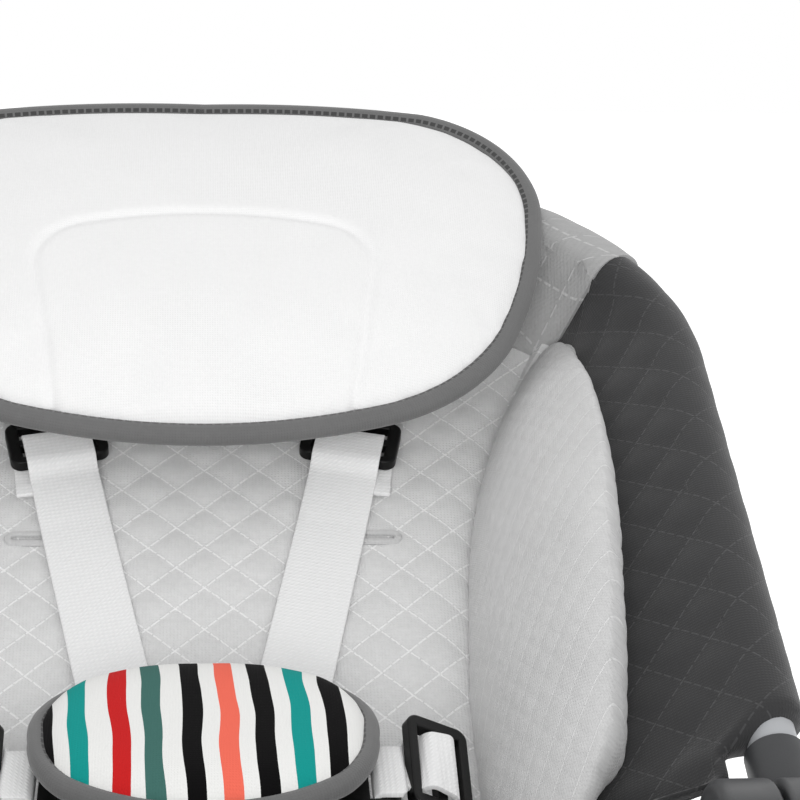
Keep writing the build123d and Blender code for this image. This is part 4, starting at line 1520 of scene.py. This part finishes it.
@dataclass
class Cushion:
    """A flat cushion with a bound edge, filled and sewn.

    Its outline and its seam are in millimetres, in its plane. An arc is its end and a point
    that it passes through.
    """

    name: str
    node: str
    binding_node: str
    body: Body
    finish: Finish
    plane: Slope
    top: Point
    arcs: tuple[tuple[Point, Point], ...]
    band_width: float
    band_thick: float
    voxel: float
    cap: float
    band_show: float = 1.6
    tuck: float = 0.0
    step: float = 2 * MM
    held: float = 1 * MM
    seam: tuple[Point, ...] = ()
    seam_radii: tuple[float, ...] = ()
    seam_step: float = 1 * MM
    seam_depth: float = 1.5 * MM
    seam_width: float = 2.2 * MM

    def outline(self) -> Array:
        """The cushion's outline in its plane, clockwise from the top centre."""
        spots = []
        start = self.top
        for end, middle in self.arcs:
            spots.append(arc_points(start, middle, end))
            start = end
        right = np.concatenate(spots)
        left = right[1:][::-1] * (-1, 1)
        whole = np.concatenate((right, [start], left)) * MM
        return even(np.concatenate((whole, whole[:1])), self.step)[:-1]

    def body_piece(self) -> None:
        """The filled cushion, with its sewn seam drawn in."""
        rim = self.outline()

        def sewn(points: Array) -> Array:
            return gaps(self.plane.local(points)[:, :2], rim) < self.band_width + self.held

        obj = stuffed(self.node, self.name, self.voxel, self.cap, sewn, levels=2)
        local = self.plane.local(points_of(obj))
        flat, z = local[:, :2], local[:, 2]
        low, high = rim.min(0), rim.max(0)
        fit = (high - low - self.band_show * self.band_width) / np.ptp(flat, 0)
        flat = (low + high) / 2 + (flat - (flat.min(0) + flat.max(0)) / 2) * fit
        lay(obj, self.plane.place(*flat.T, z))
        mark(obj, *flat.T)
        if self.seam:
            corners, radii = np.multiply(self.seam, MM), np.multiply(self.seam_radii, MM)
            gap = gaps(flat, rounded(corners, radii, self.seam_step))
            push(obj, -self.seam_depth * np.exp(-((gap / self.seam_width) ** 2)) * (z > 0))
        dressed(obj, self.finish)
        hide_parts(self.node)
        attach(obj, self.body)

    def binding(self) -> None:
        """The tape round the cushion's edge."""
        loop = self.outline()
        half_width, half_thick = self.band_width / 2, self.band_thick / 2
        middle = loop + beside_loop(loop) * half_width
        obj = band(f"{self.name}_tape", middle[::-1], half_width, half_thick, sides=20)
        x, y, z = points_of(obj).T
        lay(obj, self.plane.place(x, y, z - self.tuck * ease(y / self.top[1] / MM)))
        dressed(obj, GREY_TAPE)
        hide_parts(self.binding_node)
        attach(obj, self.body)

    def build(self) -> None:
        """Makes the cushion and its binding."""
        self.body_piece()
        self.binding()


def head_pillow() -> Cushion:
    """The head pillow, hung from its top edge."""
    angle = BACK_ANGLE + PILLOW_TILT
    hinge = np.array(JOINTS["pillow_lift"]["pos_m"])
    top = (0.0, 93.0)
    return Cushion(
        name="pillow",
        node="head_pillow",
        binding_node="pillow_binding",
        body=Body.PILLOW,
        finish=WHITE_JERSEY,
        plane=Slope(hinge - top[1] * MM * Slope(hinge, angle).along, angle),
        top=top,
        arcs=(
            ((89.0, 87.6), (50.0, 92.4)),
            ((132.4, 19.0), (119.5, 67.5)),
            ((115.0, -49.0), (127.0, -14.0)),
            ((69.0, -90.0), (96.0, -74.0)),
            ((0.0, -101.0), (36.0, -98.0)),
        ),
        band_width=8.6 * MM,
        band_thick=7.4 * MM,
        voxel=4.5 * MM,
        cap=5 * MM,
        tuck=-2 * MM,
        seam=((52.8, -94), (66, -6), (0, 9), (-66, -6), (-52.8, -94)),
        seam_radii=(22.0, 205.0, 22.0),
    )


def tummy_pad() -> Cushion:
    """The tummy pad, over the buckle."""
    hinge = np.array(JOINTS["tummy_lift"]["pos_m"])
    bottom = (0.0, -36.0)
    along = Slope(hinge, TUMMY_ANGLE).along
    return Cushion(
        name="tummy_cushion",
        node="tummy_pad",
        binding_node="tummy_binding",
        body=Body.TUMMY,
        finish=STRIPED_COTTON,
        plane=Slope(hinge - bottom[1] * MM * along, TUMMY_ANGLE),
        top=(0.0, 48.0),
        arcs=(
            ((40.0, 40.0), (22.0, 46.5)),
            ((53.7, 6.0), (51.5, 25.0)),
            ((43.6, -20.7), (51.0, -9.0)),
            (bottom, (25.0, -31.5)),
        ),
        band_width=6.6 * MM,
        band_thick=7.4 * MM,
        voxel=3 * MM,
        cap=4 * MM,
        band_show=1.2,
        tuck=4 * MM,
    )


@dataclass
class PillowFlap:
    """The cloth that the head pillow hangs on, from the arch's sleeve to the pillow's top."""

    half: float = 70 * MM
    sleeve_r: float = 12.7 * MM
    cloth: float = 1.0 * MM
    first: float = math.radians(5)
    last: float = math.radians(80)
    on_sleeve: float = 0.6
    rim_share: float = 0.8
    tape_share: float = 0.4
    blend_share: float = 0.3
    mid_share: float = 0.01
    cloth_run: float = 20 * MM

    def build(self, pillow: Cushion) -> None:
        """Sews the flap to the pillow's tape.

        Args:
            pillow: The pillow that hangs on it.
        """
        obj, u, v = grid("pillow_flap", across=56, along=20)
        line, outward = (part[::-1] for part in HOOPS.back_line())
        x = u * self.half
        hoop_y, out_x, out_y = (
            np.interp(x, line[:, 0], column) for column in (line[:, 1], *outward.T)
        )
        centre, out = BACK_HOOP.place(x, hoop_y, 0.0), BACK_HOOP.aim(out_x, out_y)
        t = (v + 1) / 2
        angle = self.first + (self.last - self.first) * np.minimum(t / self.on_sleeve, 1)
        laid = round_back_hoop(centre, out, self.sleeve_r, angle)
        rim = pillow.outline()
        rim = rim[rim[:, 1] > self.rim_share * rim[:, 1].max()]
        rim = rim[np.argsort(rim[:, 0])]
        edge_y = np.interp(x, rim[:, 0], rim[:, 1]) - pillow.band_width / 2
        edge_z = -pillow.tuck - self.tape_share * pillow.band_thick
        sewn = pillow.plane.place(x, edge_y, edge_z)
        free = np.clip((t - self.on_sleeve) / (1 - self.on_sleeve), 0, 1)[:, None]
        spots = laid + free * (sewn - laid)
        lay(obj, spots)
        mark(obj, x, t * self.cloth_run)
        apply(obj, "SOLIDIFY", thickness=self.cloth, offset=0.0)
        close(obj)
        dressed(obj, GREY_PLAIN)
        top = BACK_HOOP.place(np.zeros(1), np.array([line[:, 1].max()]), 0.0)[0]
        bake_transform(obj)


@dataclass
class Harness:
    """The harness webbing: shoulder straps with their tails, waist straps, crotch strap.

    The radii of the shoulder and waist straps' bends are in millimetres.
    """

    # The webbing
    width: float = 25 * MM
    thick: float = 1.6 * MM
    step: float = 1.5 * MM

    # The shoulder straps and their adjusters
    lie: float = 1.2 * MM
    slot_lead: float = 1 * MM
    slot_depth: float = 15 * MM
    lean: float = math.radians(11.6)
    adjuster_run: float = 14 * MM
    adjuster_half: float = 11 * MM
    adjuster_lift: float = 1.1 * MM
    adjuster_thick: float = 4 * MM
    bar_gap: float = 0.3 * MM
    ramp_start: float = 6.6 * MM
    ramp_end: float = 1.6 * MM
    past_bar: float = 1 * MM
    over_tail: float = 2.2 * MM
    tail_lead: float = 8 * MM
    tail_past: float = 17 * MM
    pad_end: float = 140 * MM
    buckle_end: Point = (183 * MM, 25 * MM)
    shoulder_radii: tuple = (2, 2, 2.5, 4, 8, 40, 40)

    # The shoulder straps' tails
    tail_start: float = 19 * MM
    tail_end: float = 39 * MM
    tail_points: int = 20
    tail_lie: float = 1 * MM
    tail_out: float = 2.5 * MM
    tail_splay: float = math.radians(5)
    fold_run: float = 7 * MM
    fold_blend: float = 2 * MM
    fold_share: float = 0.25

    # The waist straps and the tongues' bars
    waist_y: float = 62 * MM
    waist_seam: Point = (86 * MM, -1.4 * MM)
    waist_bend: Point = (81 * MM, 18 * MM)
    waist_tongue: Point = (60.9 * MM, 28.8 * MM)
    waist_step: float = 0.8 * MM
    waist_radii: tuple = (4.5, 1.8, 3.2, 3.2, 1.8, 1.0, 1.0, 1.6, 1.6)
    hump_foot: float = 7.2 * MM
    hump_top: float = 4.4 * MM
    hump_past: float = 11 * MM
    tongue_end: float = 60.4 * MM
    tongue_eye: float = 52 * MM
    tongue_thick: float = 5 * MM
    eye_lie: float = 0.6

    # The crotch strap
    crotch_tail: float = 30 * MM
    crotch_low: float = -14.4 * MM
    crotch_rise: float = 34 * MM
    crotch_radii: Point = (3 * MM, 30 * MM)
    crotch_blend: float = 20 * MM

    @property
    def over_bar(self) -> float:
        """How much higher a strap's middle lies over an adjuster's bars than under them."""
        return self.adjuster_lift + self.adjuster_thick + self.thick / 2 + self.bar_gap

    def finish(self, obj: Piece, length: float, *nodes: str) -> None:
        """Dresses a strap and hides the CAD straps that it stands for.

        Args:
            obj: The strap.
            length: Its length when flat; not used.
            *nodes: The CAD straps that it stands for.
        """
        dressed(obj, WHITE_WEBBING)
        if nodes:
            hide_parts(*nodes)

    def down_strap(
        self, side: Side, run: Array, z: Array, out: float = 0.0, splay: float = 0.0
    ) -> tuple[Array, Array]:
        """A line down a shoulder strap.

        Args:
            side: Which strap.
            run: Distances down the strap from its slot.
            z: Heights over the pad.
            out: How far the line starts beside the strap's middle.
            splay: The angle by which it leaves the strap's direction.

        Returns:
            The line's points and its direction across.
        """
        lean = self.lean - splay
        x = STRAP_SLOT_X + out - run * math.sin(lean)
        line = BACK_PAD.place(side.value * x, STRAP_SLOT_Y - run * math.cos(lean), z)
        across = math.cos(lean) * ACROSS - side.value * math.sin(lean) * BACK_PAD.along
        return line, across

    def shoulder(self, side: Side) -> None:
        """A shoulder strap: out of its slot, over the adjuster's lower bars, to the buckle."""
        lie, bar = self.lie, self.adjuster_run
        over = lie + self.over_bar
        corners = (
            (-self.slot_lead, -self.slot_depth),
            (-self.slot_lead, lie),
            (bar - self.ramp_start, lie),
            (bar - self.ramp_end, over),
            (bar + self.adjuster_half + self.past_bar, over),
            (self.tail_end - self.tail_lead, lie + self.over_tail),
            (self.tail_end + self.tail_past, lie),
            (self.pad_end, lie),
            self.buckle_end,
        )
        flat = rounded(corners, np.multiply(self.shoulder_radii, MM), self.step)
        line, across = self.down_strap(side, flat[:, 0], flat[:, 1])
        name = f"shoulder_webbing_{side.word}"
        obj = ribbon(name, line, across, self.width, self.thick)
        self.finish(obj, run_lengths(flat)[-1], f"shoulder_strap_{side.word}")
        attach(obj, Body.BACKREST)

    def tail(self, side: Side) -> None:
        """The end of a shoulder strap, back out under its adjuster, folded and sewn."""
        run = np.linspace(self.tail_start, self.tail_end, self.tail_points)
        fold = ease((run - self.tail_end + self.fold_run) / self.fold_blend)
        z = self.tail_lie + self.fold_share * self.thick * fold
        line, across = self.down_strap(side, run, z, self.tail_out, self.tail_splay)
        obj = ribbon(f"strap_tail_{side.word}", line, across, self.width, self.thick)
        self.finish(obj, self.tail_end - self.tail_start)
        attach(obj, Body.BACKREST)

    def waist(self, side: Side) -> None:
        """A waist strap: out of the seam, over its adjuster's bar, round the tongue's bar."""
        bend, end = np.array(self.waist_bend), np.array(self.waist_tongue)
        along = (end - bend) / np.linalg.norm(end - bend)
        up = np.array((along[1], -along[0]))
        runs = (-self.hump_foot, -self.hump_top, self.hump_top, self.hump_foot, self.hump_past)
        heights = (0, self.over_bar, self.over_bar, 0, 0)
        middle = (bend + end) / 2
        hump = [middle + along * run + up * high for run, high in zip(runs, heights)]
        flat = np.array([self.waist_seam, bend, *hump])
        low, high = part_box(f"buckle_tongue_{side.word}")
        centre = np.array((0.0, low.y + high.y, low.z + high.z)) / 2
        tongue = Slope(centre, TUMMY_ANGLE)
        over = self.tongue_thick / 2 + self.eye_lie * self.thick
        eye_x = np.array((self.tongue_end, self.tongue_eye, self.tongue_eye, self.tongue_end))
        eye_z = np.array((over, over, -over, -over))
        eye = tongue.place(side.value * eye_x, 0.0, eye_z)
        strap = BACK_PAD.place(side.value * flat[:, 0], self.waist_y, flat[:, 1])
        corners = np.concatenate((strap, eye))
        line = rounded(corners, np.multiply(self.waist_radii, MM), self.waist_step)
        inward = self.waist_bend[0] - np.abs(line[:, 0])
        turned = ease(inward / (self.waist_bend[0] - self.tongue_end))[:, None]
        across = (1 - turned) * BACK_PAD.along + turned * tongue.along
        obj = ribbon(f"waist_webbing_{side.word}", line, across, self.width, self.thick)
        self.finish(obj, run_lengths(line)[-1], f"waist_strap_{side.word}")
        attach(obj, Body.BACKREST)

    def crotch(self) -> None:
        """The crotch strap: from its sewn tail up through the seat's slot to the buckle."""
        _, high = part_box("crotch_strap")
        p = np.array((-CROTCH_SLOT - self.crotch_tail, -CROTCH_SLOT, -CROTCH_SLOT))
        heights = np.array((self.crotch_low, self.crotch_low, self.crotch_rise))
        tail, foot, top = BED.place(np.zeros(3), p, heights)[:, 1:]
        eye = np.array((high.y, high.z - self.thick / 2))
        flat = rounded((tail, foot, top, eye), self.crotch_radii, self.step)
        line = np.concatenate((np.zeros((len(flat), 1)), flat), 1)
        obj = ribbon("crotch_webbing", line, ACROSS, self.width, self.thick)
        self.finish(obj, run_lengths(flat)[-1], "crotch_strap")
        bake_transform(obj)

    def build(self) -> None:
        """Makes the straps of both sides."""
        for side in Side:
            self.shoulder(side)
            self.tail(side)
            self.waist(side)
        self.crotch()


@dataclass
class Chassis:
    """The sprung base: hairpin arms, which flex on the real seat, and the CAD nodes that keep
    their shape.
    """

    arm_x: float = 155 * MM
    tube_r: float = 7 * MM
    bend_r: float = 40 * MM
    rail_z: float = 14 * MM
    arm_foot: float = 30 * MM
    insert: float = 28 * MM
    arm_step: float = 3 * MM
    bend_points: int = 40
    flex_back: float = 0.5
    flex_up: float = 0.9

    def arm(self, side: Side) -> None:
        """A hairpin arm from the rail's joint up to the hub, round its bend, which flexes on the
        real seat.
        """
        rise, reach = HUB[2] - BEND[2], HUB[1] - BEND[1]
        angle = math.atan2(rise, reach) - math.asin(self.bend_r / math.hypot(rise, reach))
        up_arm = np.array((math.cos(angle), math.sin(angle)))
        end = HUB[1:] - up_arm * self.insert
        foot = np.array((BEND[1] + self.arm_foot, self.rail_z))
        first = np.array((BEND[1], self.rail_z))
        last = BEND[1:] + np.array((-up_arm[1], up_arm[0])) * self.bend_r
        down = -math.pi / 2
        turns = np.linspace(down, down - (math.pi - angle), self.bend_points)
        bend = BEND[1:] + self.bend_r * np.stack((np.cos(turns), np.sin(turns)), -1)
        flat = even(np.concatenate(([foot, first], bend, [last, end])), self.arm_step)
        x = side.value * self.arm_x
        line = np.concatenate((np.full((len(flat), 1), x), flat), 1)
        radii = np.full(len(line), self.tube_r)
        obj = sweep(f"arm_tube_{side.word}", line, ACROSS, radii, sides=28)
        dressed(obj, COATED_TUBE)
        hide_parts(f"spring_arm_{side.word}")
        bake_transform(obj)

    def coil(self, side: Side) -> None:
        """A recline button's conical spring, copied from its CAD node; on the real seat it is
        squeezed as the button goes in.
        """
        node = f"button_spring_{side.word}"
        obj = copy_of(node, f"button_coil_{side.word}")
        dressed(obj, ZINC_STEEL)
        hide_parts(node)
        out = side.value * points_of(obj)[:, 0]
        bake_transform(obj)

    def carried_over(self) -> None:
        """Finishes on the CAD nodes that show."""
        for finish, names in CAD_FINISHES.items():
            for name in names:
                for node in (name, f"{name}_left", f"{name}_right"):
                    if node in frame["nodes"]:
                        obj = frame["nodes"][node]
                        obj.data.materials.clear()
                        obj.data.materials.append(finish.material())
                        LOG.info("%s: %s", node, finish.name)

    def build(self) -> None:
        """Makes the arms and dresses the carried-over nodes."""
        for side in Side:
            self.arm(side)
            self.coil(side)
        self.carried_over()


@dataclass
class Studio:
    """The camera at the photograph's angle, soft lamps, a pale floor and a white background."""

    eye: tuple[float, float, float] = (0.0, -0.67538, 0.48299)
    pitch: float = math.radians(14.5)
    focal_px: float = 2363.0
    axis_px: tuple[float, float] = (205.0, 540.0)
    image_px: float = 800.0
    sensor_mm: float = 36.0
    clip_start: float = 0.01
    lamp_aim: tuple[float, float, float] = (0.0, 0.1, 0.28)
    floor_size: float = 12.0
    floor_colour: str = "#ececec"
    floor_glow: float = 0.66
    sky_light: float = 0.7

    def camera(self) -> None:
        """The camera, turned so that the photograph's middle is in the middle."""
        ahead = Vector((0, math.cos(self.pitch), -math.sin(self.pitch)))
        up = Vector((0, math.sin(self.pitch), math.cos(self.pitch)))
        right = Vector((1, 0, 0))
        off_x = self.image_px / 2 - self.axis_px[0]
        off_y = self.axis_px[1] - self.image_px / 2
        aim = ahead * self.focal_px + right * off_x + up * off_y
        forward = aim.normalized()
        side = (right - forward * right.dot(forward)).normalized()
        over = side.cross(forward)
        data = bpy.data.cameras.new("camera")
        data.sensor_width = self.sensor_mm
        data.lens = aim.length / self.image_px * self.sensor_mm
        data.clip_start = self.clip_start
        obj = bpy.data.objects.new("camera", data)
        turn = Matrix((side, over, -forward)).transposed().to_4x4()
        obj.matrix_world = Matrix.Translation(self.eye) @ turn
        bpy.context.scene.collection.objects.link(obj)
        bpy.context.scene.camera = obj

    def lamp(self, name: str, place: Sequence[float], size: float, power: float) -> None:
        """A square area lamp aimed at the bucket.

        Args:
            name: The lamp's name.
            place: Where it stands.
            size: Its side.
            power: Its power in watts.
        """
        data = bpy.data.lights.new(name, "AREA")
        data.size = size
        data.energy = power
        obj = bpy.data.objects.new(name, data)
        aim = Vector(self.lamp_aim) - Vector(place)
        turn = aim.to_track_quat("-Z", "Y").to_matrix().to_4x4()
        obj.matrix_world = Matrix.Translation(place) @ turn
        bpy.context.scene.collection.objects.link(obj)

    def floor(self) -> None:
        """A pale floor that is white to the camera and keeps the object's shadow."""
        bpy.ops.object.select_all(action="DESELECT")
        bpy.ops.mesh.primitive_plane_add(size=self.floor_size)
        obj = bpy.context.active_object
        obj.name = "floor"
        made = bpy.data.materials.new("pale floor")
        made.use_nodes = True
        tree = made.node_tree
        tree.nodes.clear()
        inputs = {
            "Base Color": linear(self.floor_colour),
            "Roughness": 0.9,
            "Specular IOR Level": 0.1,
            "Emission Color": (1, 1, 1, 1),
            "Emission Strength": reckon(tree, "MULTIPLY", self.seen(tree), self.floor_glow),
        }
        shader = add_node(tree, "BsdfPrincipled", inputs)
        add_node(tree, "OutputMaterial", {"Surface": shader})
        obj.data.materials.append(made)

    def seen(self, tree: Tree) -> Socket:
        """1 for rays from the camera and those that gloss or glass pass on, 0 for light."""
        rays = ("Is Camera Ray", "Is Glossy Ray", "Is Transmission Ray")
        camera, glossy, through = (add_node(tree, "LightPath", output=ray) for ray in rays)
        return reckon(tree, "MAXIMUM", reckon(tree, "MAXIMUM", camera, glossy), through)

    def sky(self) -> None:
        """A white world that lights the object softly."""
        world = bpy.data.worlds.new("studio")
        bpy.context.scene.world = world
        world.use_nodes = True
        tree = world.node_tree
        tree.nodes.clear()
        level = remap(tree, self.seen(tree), (0.0, 1.0), (self.sky_light, 1.0))
        light = add_node(tree, "Background", {"Color": (1, 1, 1, 1), "Strength": level})
        add_node(tree, "OutputWorld", {"Surface": light})

    def build(self) -> None:
        """Sets up the camera, the lamps, the floor and the world."""
        bpy.context.scene.view_settings.view_transform = "Standard"
        self.camera()
        self.lamp("key lamp", place=(-0.1, -1.2, 0.5), size=0.6, power=7.5)
        self.lamp("fill lamp", place=(1.3, -0.9, 1.1), size=1.4, power=3.0)
        self.lamp("rim lamp", place=(0.2, 1.5, 1.3), size=1.2, power=2.5)
        self.floor()
        self.sky()


def main() -> None:
    """Builds the object's looks, sub-assembly by sub-assembly."""
    logging.basicConfig(level=logging.INFO, format="%(name)s %(message)s")
    Chassis().build()
    Bucket().build()
    Harness().build()
    pillow = head_pillow()
    pillow.build()
    PillowFlap().build(pillow)
    tummy_pad().build()
    Studio().build()


if __name__ == "__main__":
    main()
